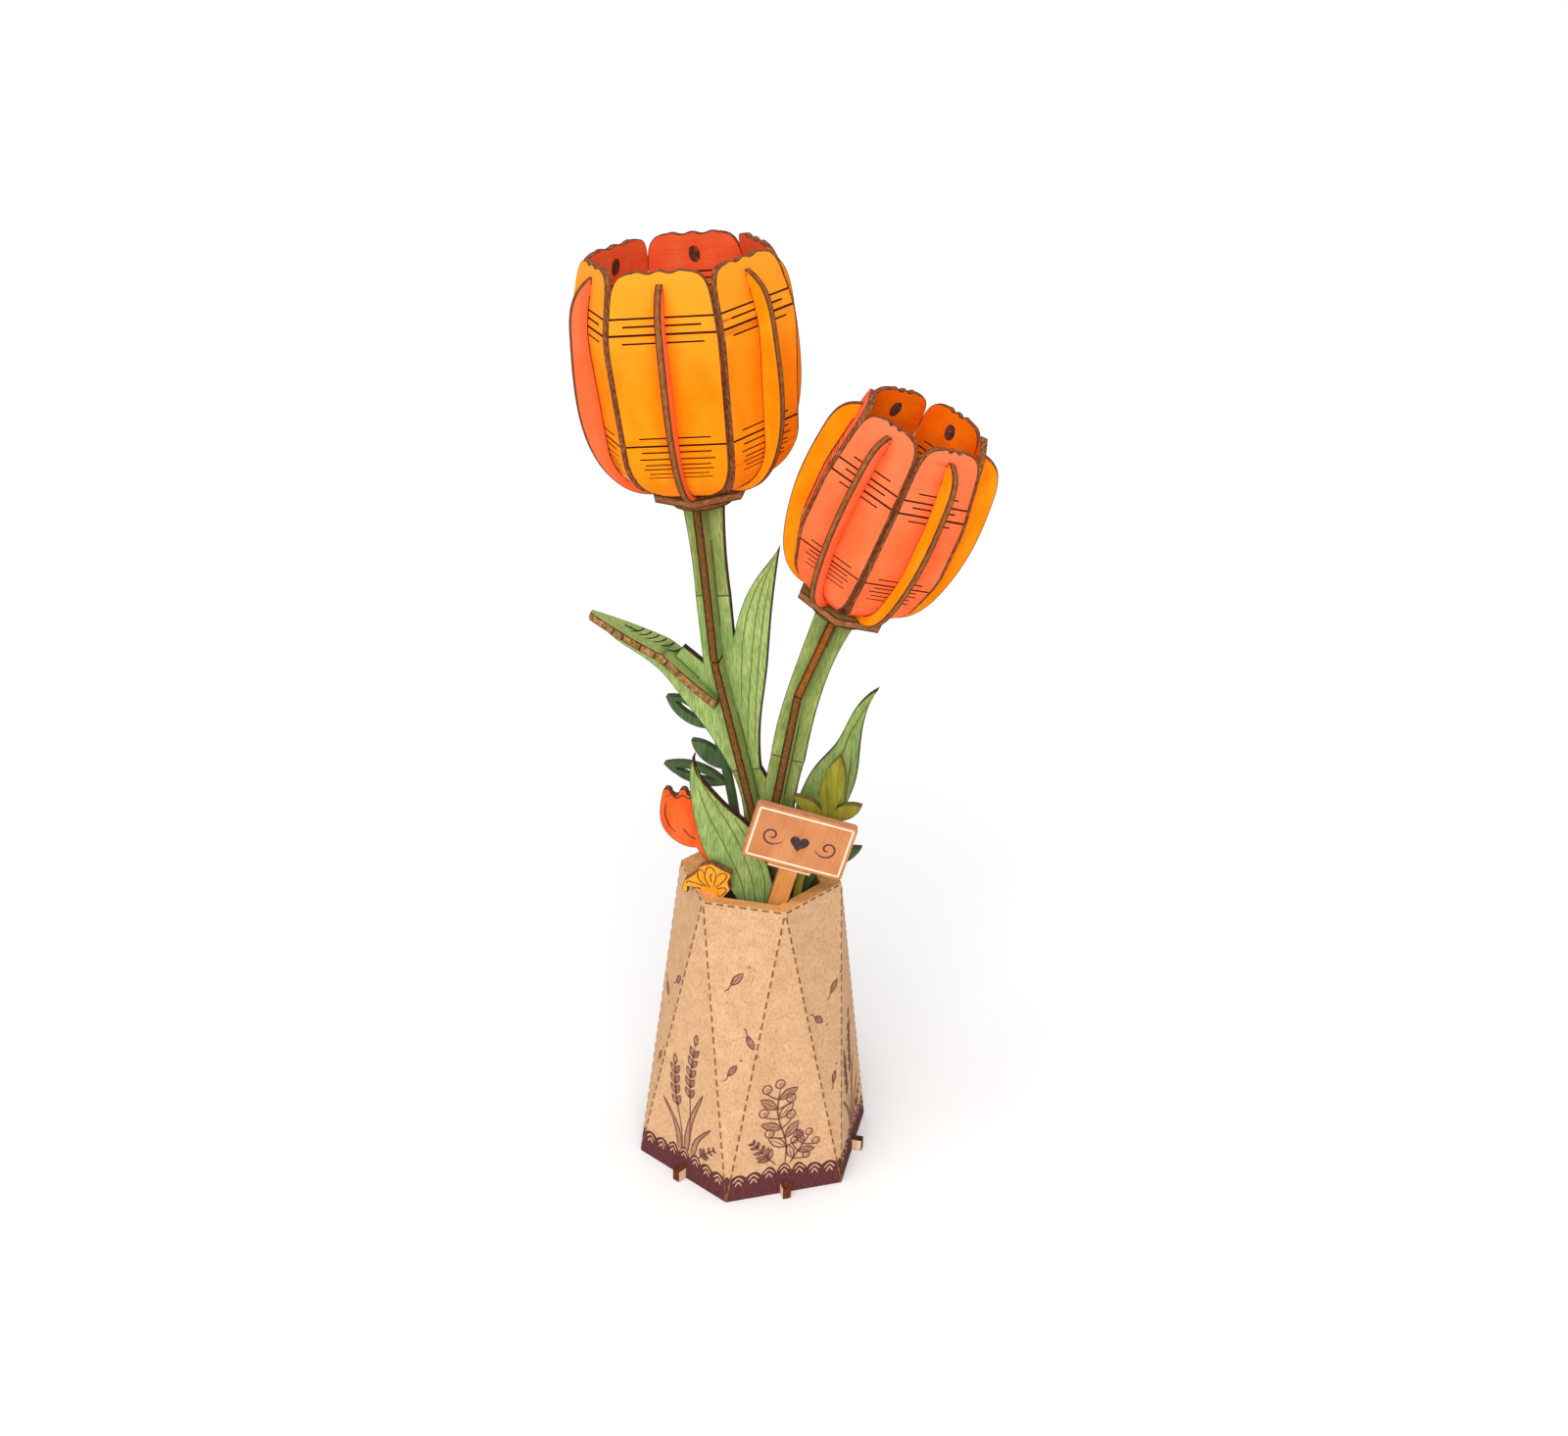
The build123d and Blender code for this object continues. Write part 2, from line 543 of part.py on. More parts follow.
def petal_rib(head):
    """Upright rib on the outside of a petal, with its tab, foot and foot tab."""
    start, end = head.fin[0], head.fin[-1]
    closing = Polyline(end, (0, end[1]), (0, 0), start)
    fin = make_face(Spline(*head.fin).edges() + closing.edges()) - inside_petal(head, THIN + FIT)
    fin -= Rectangle(2 * FOOT_TAB[0], 2 * PLY)
    tab = rib_tab(head, 0) - sheet(inside_petal(head, -TAB_PROUD), 2 * THIN)
    half = THIN / 2
    lug = block((FOOT_TAB[0], FOOT_LUG), (-half, half), (0, PLY))
    return sheet(fin, THIN) + tab + lug + block(FOOT_TAB, (-half, half), (-PLY, PLY))


def head_parts(name, stem, head):
    """Calyx, petals and ribs of one tulip head, set on its stem."""
    place = stem.head_place()
    parts = {
        name + "_calyx_plate": place * calyx_plate(head),
        name + "_calyx_washer": place * calyx_washer(),
    }
    one_petal = petal(head)
    one_rib = petal_rib(head)
    for k in range(PETALS):
        spot = place * Rot(0, 0, front_turn(head, k))
        parts["%s_petal_%d" % (name, k + 1)] = spot * one_petal
        parts["%s_petal_rib_%d" % (name, k + 1)] = spot * one_rib
    return parts


def leaflet(root, tip, width):
    """Lens-shaped leaflet between two arcs."""
    root, tip = Vector(*root), Vector(*tip)
    middle = (root + tip) / 2
    along = (tip - root).normalized()
    side = Vector(-along.Y, along.X) * width / 2
    return make_face([ThreePointArc(root, middle + side, tip), ThreePointArc(tip, middle - side, root)])


def blade(left, right):
    """Leaf between two smooth edges that meet at its tip."""
    return make_face([Spline(*left), Spline(*right), Line(right[-1], left[0])])


def sprig(leaflets, stalk, slits=()):
    """Stalk with leaflets, cut from one sheet."""
    face = trace(Spline(*stalk), STALK)
    for root, tip, width in leaflets:
        face += leaflet(root, tip, width)
    for root, tip, width in slits:
        face -= leaflet(root, tip, width)
    return face


def bud_face():
    """Small closed tulip in outline, with a waved top."""
    crest = waved(BUD_LEFT[-1], BUD_RIGHT[0], BUD_CREST_COUNT, BUD_WAVE)
    outline = make_face([Spline(*BUD_LEFT), *crest, Spline(*BUD_RIGHT)])
    return outline + trace(Spline(*BUD_STALK), STALK)


def stand(face, distance, middle):
    """Set a flat piece at its distance from the stem boards, with a deck tenon."""
    solid = sheet(face) - block((-BASE_RADIUS, BASE_RADIUS), (-PLY, PLY), (2 * DECK_TOP, DECK_TOP))
    tenon = block((middle - TENON / 2, middle + TENON / 2), (-PLY / 2, PLY / 2), (DECK_BASE, DECK_TOP + OVER))
    return Pos(0, distance, 0) * (solid + tenon)


STANDING = {
    "front_leaf": (blade(FRONT_LEAF_LEFT, FRONT_LEAF_RIGHT), FRONT_LEAF_Y, FRONT_LEAF_FOOT),
    "right_leaf": (blade(RIGHT_LEAF_LEFT, RIGHT_LEAF_RIGHT), RIGHT_LEAF_Y, RIGHT_LEAF_FOOT),
    "olive_sprig": (sprig(OLIVE_LEAFLETS, OLIVE_STALK), OLIVE_Y, OLIVE_STALK[0][0]),
    "dark_sprig": (sprig(DARK_LEAFLETS, DARK_STALK, DARK_SLITS), DARK_Y, DARK_STALK[0][0]),
    "low_sprig": (sprig(LOW_LEAFLETS, LOW_STALK), LOW_Y, LOW_STALK[0][0]),
    "bud_tulip": (bud_face(), BUD_Y, BUD_STALK[0][0]),
}


def butterfly():
    """Butterfly notched over the folded rim of the vase."""
    face = make_face(FilletPolyline(*BUTTERFLY, radius=WING_ROUND, close=True))
    notch = block(butterfly_notch(), (-PLY, PLY), (DECK_TOP, FIT))
    return Pos(0, BUTTERFLY_Y, 0) * (sheet(face) - notch)


def sign_place():
    return Pos(*SIGN_CENTRE) * Rot(0, 0, SIGN_TURN)


def sign_board():
    board = sheet(RectangleRounded(SIGN_WIDTH, SIGN_HEIGHT, SIGN_CORNER))
    return sign_place() * Rot(0, SIGN_TILT, 0) * board


def stake_foot():
    """Where the middle of the stake meets the deck, in the turned sign frame."""
    drop = SIGN_CENTRE[2] - DECK_TOP
    return (-drop * tan(radians(SIGN_TILT)), -drop)


def stake_shaft(grow):
    """Tilted shaft behind the sign, cut off level at the deck."""
    foot_z = stake_foot()[1]
    high = STAKE_BAR[2]
    wide = STAKE_HALF + grow
    shaft = block((-wide, wide), (PLY / 2 - grow, PLY * 3 / 2 + grow), (2 * foot_z, high))
    return Rot(0, SIGN_TILT, 0) * shaft - block((3 * foot_z, -foot_z), (-PLY, 3 * PLY), (3 * foot_z, foot_z))


def sign_stake():
    """Stake with a cross bar glued to the back of the sign."""
    half, low, high = STAKE_BAR
    bar = Rot(0, SIGN_TILT, 0) * block((-half, half), (PLY / 2, PLY * 3 / 2), (low, high))
    return sign_place() * (stake_shaft(0) + bar + stake_tenon(0))


def stake_tenon(grow):
    foot_x, foot_z = stake_foot()
    half = TENON / 2 + grow
    thick = (PLY / 2 - grow, PLY * 3 / 2 + grow)
    return block((foot_x - half, foot_x + half), thick, (foot_z - PLY, foot_z + OVER))


def deck_plate():
    """Deck inside the vase, slotted for the stems and all that stands in it."""
    inner = hanging_reach(VASE_HEIGHT + DECK_TOP) - CLEAR
    corner = standing_reach(VASE_HEIGHT + DECK_TOP) - CLEAR
    face = RegularPolygon(inner, SIDES, major_radius=False)
    face = face & RegularPolygon(corner, SIDES, major_radius=False, rotation=SIDE_TURN / 2)
    deck = Pos(0, 0, DECK_BASE) * extrude(face, amount=PLY)
    half = PLY / 2 + FIT
    deep = (DECK_BASE - OVER, DECK_TOP + OVER)
    deck -= block((NECK_LEFT - FIT, NECK_RIGHT + FIT), (-half, half), deep)
    for face, distance, middle in STANDING.values():
        reach = TENON / 2 + FIT
        deck -= block((middle - reach, middle + reach), (distance - half, distance + half), deep)
    return deck - sign_place() * stake_tenon(FIT)


def stem_parts():
    """Stem boards and ribs, halved into each other."""
    fork, leaf, top, short = fork_board(), leaf_board(), top_board(), short_board()
    tall_low, tall_high = lower_rib(TALL), upper_rib(TALL)
    short_low, short_high = lower_rib(SHORT), upper_rib(SHORT)
    fork_seam, top_seam = TALL_SEAMS
    fork, tall_low = cross_lap(fork, tall_low, TALL.low_place(), (TALL.foot, fork_seam), False)
    leaf, tall_low = cross_lap(leaf, tall_low, TALL.low_place(), (fork_seam, 0), True)
    leaf, tall_high = cross_lap(leaf, tall_high, TALL.top_place(), (0, top_seam), False)
    top, tall_high = cross_lap(top, tall_high, TALL.top_place(), (top_seam, TALL.rise), True)
    fork, short_low = cross_lap(fork, short_low, SHORT.low_place(), (SHORT.foot, SHORT_SEAM), False)
    short, short_low = cross_lap(short, short_low, SHORT.low_place(), (SHORT_SEAM, 0), True)
    short, short_high = cross_lap(short, short_high, SHORT.top_place(), (0, SHORT.rise), False)
    return {
        "stem_fork_board": fork,
        "tall_leaf_board": leaf,
        "tall_top_board": top,
        "tall_lower_rib": tall_low,
        "tall_upper_rib": tall_high,
        "short_top_board": short,
        "short_lower_rib": short_low,
        "short_upper_rib": short_high,
    }


def bouquet_parts():
    """All that the vase holds, measured from its rim."""
    parts = {
        "deck_plate": deck_plate(),
        "bent_leaf": bent_leaf(),
        "butterfly": butterfly(),
        "sign_board": sign_board(),
        "sign_stake": sign_stake(),
    }
    parts.update(stem_parts())
    parts.update(head_parts("tall", TALL, TALL_HEAD))
    parts.update(head_parts("short", SHORT, SHORT_HEAD))
    for name, (face, distance, middle) in STANDING.items():
        parts[name] = stand(face, distance, middle)
    return parts


def all_parts():
    parts = {
        "vase_sleeve": vase_sleeve(),
        "foot_brace_left": brace(1, SIDE_TURN),
        "foot_brace_right": brace(0, -SIDE_TURN),
    }
    for name, shape in bouquet_parts().items():
        parts[name] = RIM_PLACE * shape
    return parts


for node, shape in all_parts().items():
    export_step(shape, "parts/%s.step" % node)
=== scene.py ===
import bmesh
import bpy
from math import cos, pi, radians, sin
from mathutils import Matrix, Vector
from mathutils.bvhtree import BVHTree
from numpy import interp


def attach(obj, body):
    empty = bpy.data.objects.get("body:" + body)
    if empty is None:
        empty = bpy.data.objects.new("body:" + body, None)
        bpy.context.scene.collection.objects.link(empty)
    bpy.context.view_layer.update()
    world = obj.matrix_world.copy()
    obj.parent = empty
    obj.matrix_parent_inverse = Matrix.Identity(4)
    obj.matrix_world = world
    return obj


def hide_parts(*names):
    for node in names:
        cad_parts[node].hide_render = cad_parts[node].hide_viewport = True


# Looks of the wooden tulips: printed plywood with burnt edges in a kraft-card vase.
# The frame is in metres; sizes below are millimetres and angles degrees unless they say otherwise.

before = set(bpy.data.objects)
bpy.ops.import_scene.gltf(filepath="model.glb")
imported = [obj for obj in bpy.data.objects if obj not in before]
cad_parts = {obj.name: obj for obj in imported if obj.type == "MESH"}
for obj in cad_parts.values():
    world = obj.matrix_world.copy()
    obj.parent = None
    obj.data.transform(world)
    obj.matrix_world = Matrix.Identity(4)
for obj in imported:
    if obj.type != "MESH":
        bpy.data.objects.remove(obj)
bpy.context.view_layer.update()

MM = 0.001
X, Y, Z = Matrix.Identity(3)
PLAIN = Matrix.Identity(4)
AFAR = 1.0  # metres from which a surface is looked for
SPECK = 1e-7  # metres; shorter lengths count as nothing
WHITE = (255, 255, 255)
BLACK = (0, 0, 0)

# Sheets
PLY = 2.0  # plywood of the flat pieces
THIN = 1.5  # plywood of the petals and their ribs
WELD = 0.002  # nearer corners of a solid are one
FLAT = 0.5  # faces that break by less are one flat face
SHARP = 17  # steeper breaks than this stay crisp

# Places in a cut piece's list of materials
AT_FRONT, AT_BACK, AT_EDGE, AT_RIM, AT_EXTRA = range(5)

# Cosine of a face's lean from a direction, above which it counts as that side of its sheet
SQUARE = 0.9  # printed side of a flat board
ENDWISE = 0.6  # top or foot edge of a petal
SIDEWISE = 0.5  # side edge of a petal, or any side of the bent leaf
PETAL_FOOT = 4.0  # a petal's foot edge lies below this height

# Burnt rims and kerf cuts
RIM_WIDTH = 0.18  # burnt line along the outline of each cut face
RIM_DROP = 0.08  # fall of that line towards the edge
MITRE = 0.45  # limits the reach of a rim's line at sharp corners to 1 / MITRE times its width
KERF_WALL = 0.05  # width of the sloping walls of a kerf
KERF_DEPTH = 0.3
KERF_PLAY = 0.01  # a corner this far past a kerf is still in it

# Prints: shine, roughness, and strength and depth of the relief
GLOSS = 0.07
PRINT_ROUGH = 0.78
EDGE_ROUGH = 0.85
CARD_ROUGH = 0.88
PRINT_RELIEF = (0.25, 0.06)
EDGE_RELIEF = (0.5, 0.12)
CARD_RELIEF = (0.2, 0.05)

# Noise: waves per millimetre across, through and along the sheet, and fineness
ALONG = (2.4, 2.4, 0.14)
ACROSS = (0.14, 2.4, 2.4)
FLECKS = (3.2, 3.2, 0.4)
PRINT_CLOUD = (0.22, 0.22, 0.1)
EDGE_FIBRES = (0.9, 3.2, 0.9)
CARD_CLOUD = (0.3, 0.3, 0.3)
CARD_FIBRES = (2.2, 2.2, 1.4)
DETAIL = 4.0
CARD_CLOUD_DETAIL = 6.0
CARD_FIBRE_DETAIL = 3.0

# Places of the tones in the noise, and the veils that darken a print by its grain
CLOUD_STOPS = (0.3, 0.5, 0.7)
FIBRE_STOPS = (0.32, 0.52, 0.7)
RIB_STOPS = (0.3, 0.7)
GRAIN_STOPS = (0.35, 0.6)
GRAIN_VEIL = ((196, 196, 190), WHITE)
CARD_STOPS = (0.32, 0.48, 0.7)
CARD_VEIL = ((216, 196, 174), (246, 240, 232), WHITE)
CARD_GRAIN = 0.75
SOOT_SPAN = (0.2, 0.44)  # soot on a rib's edge, in shares of its thickness from the middle
# Painted shade: ambient occlusion darkens the prints in the corners between pieces
PAINTED_SHADE_REACH = 4.0  # reach of the painted shade that darkens a print in the corners between pieces
PAINTED_SHADE_STOPS = (0.25, 0.85)  # openness of a corner that is all painted shade, and of one with none
PAINTED_SHADE_RAYS = 6
PALE_SPAN = (28.0, 62.0)  # heights over which a petal's print turns paler

# Camera: places in metres, lens and sensor in millimetres
CAMERA_SPOT = (0.0967, -0.4395, 0.3342)
CAMERA_FORWARD = (-0.1846, 0.8801, -0.4375)
CAMERA_UP = (-0.1193, 0.4218, 0.8988)
CAMERA_LENS = 50.49
CAMERA_SENSOR = 36.0
CAMERA_NEAR = 0.01

# Stage: white floor, even ambient, and soft lights with their power, spread and direction
FLOOR_REACH = 8.0  # metres
FLOOR_ROUGH = 0.9
FULL_WHITE = (1.0, 1.0, 1.0, 1.0)
AMBIENT = 0.62
LIGHTS = {"key": (1.0, 70, (0.16, 0.62, -0.78)), "front": (1.35, 50, (-0.12, 0.86, -0.5))}

# Heads: top of the calyx plate, lean, turn of the first petal and of the plate, height of the petals
TALL_LEAN = -6.8
SHORT_LEAN = 21.0
HEADS = {
    "tall": {"spot": (-15.45, 0.0, 169.82), "lean": TALL_LEAN, "turn": 4.0, "plate": 4.0, "top": 51.3},
    "short": {"spot": (17.34, 0.0, 146.78), "lean": SHORT_LEAN, "turn": -23.5, "plate": 3.5, "top": 45.7},
}
PETALS = 6
PETAL_TURN = 360 / PETALS
PETAL_SWELL = 0.15  # reach of a petal's sides towards the next
PEG_BURN = (1.25, 1.9)  # half sizes of the burnt oval round a tab
PEG_STEPS = 24
PEG_DROP = 5.0  # top of a petal to the middle of the tab

# Kerfs that let a petal bend: height above the calyx, half length (0 from side to side), half width
KERFS = {
    "tall": [(42.3, 0, 0.2), (40.7, 8.2, 0.2), (39.0, 0, 0.24), (37.3, 8.6, 0.18), (16.9, 7.6, 0.17),
             (15.2, 0, 0.22), (13.8, 7.4, 0.17), (12.3, 8.0, 0.16), (11.0, 7.0, 0.15), (10.0, 7.4, 0.14),
             (8.9, 6.4, 0.13), (7.9, 6.8, 0.12)],
    "short": [(35.5, 5.0, 0.16), (33.7, 0, 0.2), (32.4, 5.4, 0.18), (30.8, 0, 0.22), (29.4, 5.2, 0.16),
              (14.7, 5.6, 0.16), (13.3, 0, 0.2), (12.3, 5.4, 0.16), (11.2, 6.0, 0.15), (10.1, 5.0, 0.14),
              (9.0, 5.4, 0.13)],
}

# Stems and foot boards
STEM_LEANS = {"tall_lower": -14.5, "tall_upper": TALL_LEAN, "short_lower": 9.0, "short_upper": SHORT_LEAN}
BRACE_TURN = 60.0
DECK_LEVEL = 61.0  # the forked board is bare wood below the deck

# Drawn and cut lines
MARK_LIFT = 0.03  # marks lie this far proud of their sheet
LINE = 0.36  # width of a drawn line
FINE_LINE = 0.26
TAPER = 0.35  # width at the ends of a line, as a share of the whole
TAPER_RISE = 4  # growth of that share from each end, per length of the line

# Lines on the plants: depth of the sheet, width of the lines, and their points across and up
PLANT_LINES = {
    "tall_leaf_board": (0.0, FINE_LINE, [
        [(-3.5, 104), (-3.6, 116), (-3.2, 128), (-2.4, 140), (-0.6, 149), (1.6, 155)],
        [(-5.2, 118), (-5.4, 128), (-4.8, 138), (-2.8, 146), (-0.2, 151.5)],
        [(-1.8, 108), (-1.9, 118), (-1.4, 130), (-0.6, 141), (0.8, 150)],
    ]),
    "front_leaf": (-7.5, LINE, [
        [(1.0, 66), (0.2, 76), (-3.2, 86), (-7.8, 94), (-11.6, 99.5), (-13.9, 105)],
        [(-0.8, 66), (-2.6, 76), (-6.6, 85), (-10.8, 93), (-13.4, 100)],
        [(2.6, 68), (2.8, 78), (-0.4, 86), (-4.6, 93)],
    ]),
    "right_leaf": (5.0, LINE, [
        [(14.0, 90), (16.8, 99), (17.8, 107), (20.2, 114), (24.0, 121.5)],
        [(18.4, 93), (19.4, 101), (19.8, 108)],
    ]),
    "bud_tulip": (-4.0, LINE, [
        [(-22.0, 94.2), (-20.6, 95.0), (-19.2, 94.3), (-17.8, 95.2), (-16.4, 94.6), (-15.0, 95.4),
         (-13.6, 94.9)],
        [(-21.7, 93.0), (-22.0, 90.0), (-21.0, 87.0), (-19.4, 85.2)],
        [(-17.6, 86.6), (-16.2, 84.9), (-14.6, 84.2)],
    ]),
    "butterfly": (-10.5, LINE, [
        [(-9.2, 75.6), (-10.6, 77.8), (-10.2, 80.6), (-9.0, 80.9), (-8.0, 79.0), (-8.6, 75.8)],
        [(-9.4, 75.6), (-11.8, 77.0), (-12.4, 79.2), (-11.4, 80.0), (-10.6, 78.6)],
        [(-10.2, 75.7), (-12.6, 76.2), (-14.6, 76.5), (-15.0, 75.8)],
        [(-8.2, 75.8), (-6.8, 77.0), (-5.4, 79.2), (-6.6, 79.8), (-7.8, 78.8)],
        [(-7.8, 75.4), (-6.2, 76.0), (-5.5, 75.4), (-6.6, 73.8)],
        [(-9.0, 77.0), (-9.3, 78.4), (-9.0, 79.4)],
    ]),
}

# Bent leaf: half width at places along X, cuts over its far half, a slit, ticks on its near edge
LEAF_HALF = [(-41.2, 0.8), (-31.0, 3.6), (-20.0, 4.6), (-10.4, 3.2)]
LEAF_CUTS = 9
LEAF_CUT_SPAN = (-29.4, -15.4)
LEAF_CUT_BEND = [(0.0, 1.0), (-0.2, 0.6), (-0.9, 0.15), (-2.0, -0.2)]  # shift along X, share of half width
LEAF_CUT_INSET = 0.3
LEAF_CUT_LINE = 0.44
LEAF_SLIT = [(-33.2, 0.7), (-31.55, 0.7), (-29.9, 0.8)]
LEAF_SLIT_LINE = 0.8
LEAF_SLIT_TAPER = 0.8
LEAF_TICKS = (-34.6, -32.2, -27.9, -24.4, -21.5)
LEAF_TICK_INSET = 0.2

# Sign: middle of the board, its turn and tilt, half sizes, and the drawing on it
SIGN_SPOT = (11.4, -11.4, 91.2)
SIGN_TURN = 12.0
SIGN_TILT = 15.0
SIGN_HALF = (11.8, 7.0)
FRAME_INSET = 0.9
FRAME_LINE = 0.42
HEART_SPOT = (0.0, -0.4)
HEART_HALF = 2.2
CURL_SPOT = (6.6, 0.0)
CURL_RADII = (3.0, 0.5)
CURL_ANGLES = (200, 660)
CURL_CLOSING = 0.6  # the lower, the sooner a curl closes in
CURL_LINE = 0.4
BAR_LINE = (4.8, -8.6, -6.0)  # half width and local heights of the line on the cross bar

# Vase: corner radii of its lower and upper hexagon, and their heights
VASE = "vase_sleeve"
SIDES = 6
SIDE_TURN = 360 / SIDES
VASE_BASE = 29.1
VASE_RIM = 19.4
VASE_FOOT = 0.1
VASE_HEIGHT = 75.0
DASH = (1.7, 1.0, 0.22)  # length, gap and half width of the fold perforations
RIM_DASH_DROP = 0.4  # dashes below the rim

# Dark band at the foot of the vase
BAND = 6.0  # height below the scallops
BAND_INSET = 0.05  # from the folds at its ends
SCALLOPS = 7  # on each panel
SCALLOP_STEPS = 8
SCALLOP_HEIGHTS = (0.9, 2.4)  # at the ends and in the middle of a panel
SCALLOP_GATHER = 4  # the higher, the fewer scallops stand tall
SCALLOP_ROUND = 0.8  # the lower, the blunter the scallops
BAND_ARCS = ((0.8, 0.36), (1.9, 0.22))  # drop below the crest, share of a scallop
ARC_RISE = 1.2
ARC_TAPER = 0.2

# Drawn plants of the vase; shares are of a stalk's length or of the piece's own size
STALK_STEPS = 12
BOLD = 1.2  # width of a twig in line widths
VEIN_ENDS = (0.4, 0.8)  # middle and end of a leaflet's vein, as shares of its length
VEIN_SHARE = 0.7
FERN_BARE = 0.2  # share of the stalk below the leaflets
FERN_REACH = (1.1, 0.4)  # leaflets' lengths from the foot to the tip
FERN_LEAN = (0.8, 0.7)  # sideways and along the stalk
FERN_WIDTH = 0.36
EAR_BARE = 0.55
GRAIN_LEAN = (1.4, 2.6)
GRAIN_WIDTH = 1.2
GRAIN_TIP = 3.0
BLADE_STEPS = 10
BLADE_FOOT = (0.5, 2.0)  # width at the foot, and how fast it swells from there
BLADE_POINT = 0.6  # the lower, the later a blade narrows
TWIG_BARE = 0.3
BERRY_LEAN = (2.8, 2.4)
BERRY_BEND = (1.5, 0.6)
BERRY_LEAF_LEAN = (-3.8, 2.8)
BERRY_LEAF_WIDTH = 1.9
BERRY_SHADE = (0.25, -0.25)
BERRY_SHADE_SIZE = 0.55
SHADED_OF = 3  # one berry leaf in so many is left unshaded

# Stalks and sizes of the drawn plants, across and up a standing panel
EARS = [
    ([(1.4, BAND + 2), (1.2, 16), (0.2, 27), (1.0, 37)], 5),
    ([(-0.6, BAND + 2), (-1.8, 14), (-4.2, 22), (-5.0, 29)], 4),
]
BLADES = [
    ((0.4, BAND + 1), (4.6, 25), -1.2, 2.0),
    ((2.6, BAND + 1), (8.0, 17), -1.4, 1.8),
    ((-1.4, BAND + 1), (-8.2, 19), 1.6, 1.9),
]
MEADOW_FERN = ([(4.4, BAND + 1), (6.0, 9), (9.4, 12)], 4, 2.2)
TWIGS = [
    ([(0.2, BAND + 2), (0.4, 14), (-1.6, 22), (-1.0, 29)], 6, 1.15),
    ([(1.4, BAND + 2), (3.4, 11), (6.2, 15)], 3, 0.9),
]
BUSH_FERN = ([(-2.0, BAND + 2), (-4.6, 11), (-7.8, 15)], 5, 3.0)

# Drifting leaves of a hanging panel: root, tip and width; their stalks, and specks past their tips
DRIFTS = [
    [((-2.0, 56.0), (0.8, 59.4), 1.6), ((2.6, 44.0), (4.4, 40.6), 1.5), ((-1.4, 33.0), (0.6, 36.0), 1.3)],
    [((2.4, 50.0), (5.2, 52.6), 1.6), ((-3.6, 46.4), (-1.0, 44.0), 1.5), ((0.4, 27.0), (1.6, 30.0), 1.2)],
]
DRIFT_STALK = (0.3, 0.5)  # middle and end of the stalk, in lengths of the leaf
DRIFT_BEND = 0.3
DRIFT_SHARE = 0.8
DRIFT_SPECK = (0.5, 0.28, 10)  # distance in lengths of the leaf, radius and steps


def srgb(tone):
    """Linear colour of a tone in display values up to 255."""
    linear = []
    for value in tone:
        share = value / 255
        linear.append(share / 12.92 if share <= 0.04045 else ((share + 0.055) / 1.055) ** 2.4)
    return (*linear, 1.0)


def between(first, last, share):
    return first + (last - first) * share


def turned(axis, degrees):
    return Matrix.Rotation(radians(degrees), 4, axis)


def moved(spot):
    return Matrix.Translation(Vector(spot) * MM)


def spot_in(place, across, through, along):
    """Point of the frame at some millimetres in a place."""
    return place @ (Vector((across, through, along)) * MM)


def heading(place, axis):
    """Direction in the frame of an axis of a place."""
    return (place.to_3x3() @ axis).normalized()


def feed(node, inputs):
    """Give inputs of a node other nodes' outputs, or constants."""
    for name, value in inputs.items():
        if isinstance(value, bpy.types.NodeSocket):
            node.id_data.links.new(value, node.inputs[name])
        else:
            node.inputs[name].default_value = value


def add_node(tree, kind, inputs, **settings):
    node = tree.nodes.new("ShaderNode" + kind)
    for name, value in settings.items():
        setattr(node, name, value)
    feed(node, inputs)
    return node


class Shader:
    """Material in the making; its coordinates are the lay of the sheet in millimetres."""

    def __init__(self, name, roughness):
        self.material = bpy.data.materials.new(name)
        self.material.use_nodes = True
        self.surface = self.material.node_tree.nodes["Principled BSDF"]
        feed(self.surface, {"Roughness": roughness, "Specular IOR Level": GLOSS})
        self.lay = self.add("Attribute", {}, attribute_name="lay").outputs["Vector"]

    def add(self, kind, inputs, **settings):
        return add_node(self.material.node_tree, kind, inputs, **settings)

    def lay_along(self, axis):
        """One coordinate of the lay."""
        return self.add("SeparateXYZ", {"Vector": self.lay}).outputs[axis]

    def noise(self, waves, detail=DETAIL):
        """Noise of some waves per millimetre across, through and along the sheet."""
        stretch = self.add("VectorMath", {0: self.lay, 1: waves}, operation="MULTIPLY")
        inputs = {"Vector": stretch.outputs["Vector"], "Scale": 1.0, "Detail": detail}
        return self.add("TexNoise", inputs).outputs["Fac"]

    def ramp(self, factor, places, tones):
        """Tones at some places of a factor, blended between them."""
        node = self.add("ValToRGB", {"Fac": factor})
        marks = node.color_ramp.elements
        while len(marks) < len(places):
            marks.new(places[1])
        for mark, place, tone in zip(marks, places, tones):
            mark.position = place
            mark.color = srgb(tone)
        return node.outputs["Color"]

    def mixed(self, first, second, factor, blend="MIX"):
        inputs = {"Factor": factor, "A": first, "B": second}
        return self.add("Mix", inputs, data_type="RGBA", blend_type=blend).outputs["Result"]

    def painted_crevice_shade(self, colour, painted_shade_tone):
        """Painted shade: colour that turns to a darker tone in the corners between pieces, where ambient
        occlusion finds them closed in.
        """
        shade = self.add("AmbientOcclusion", {"Distance": PAINTED_SHADE_REACH * MM}, samples=PAINTED_SHADE_RAYS)
        depth = self.ramp(shade.outputs["AO"], PAINTED_SHADE_STOPS, (WHITE, BLACK))
        return self.mixed(colour, srgb(painted_shade_tone), depth)

    def faded(self, colour, pale):
        """Colour that turns paler towards the top of the sheet."""
        low, high = PALE_SPAN
        rise = self.add("MapRange", {"Value": self.lay_along("Z"), "From Min": low, "From Max": high})
        return self.mixed(colour, srgb(pale), rise.outputs["Result"])

    def finished(self, colour, height, strength, depth):
        """The material with its colour and relief."""
        bump = self.add("Bump", {"Strength": strength, "Distance": depth * MM, "Height": height})
        feed(self.surface, {"Base Color": colour, "Normal": bump.outputs["Normal"]})
        return self.material


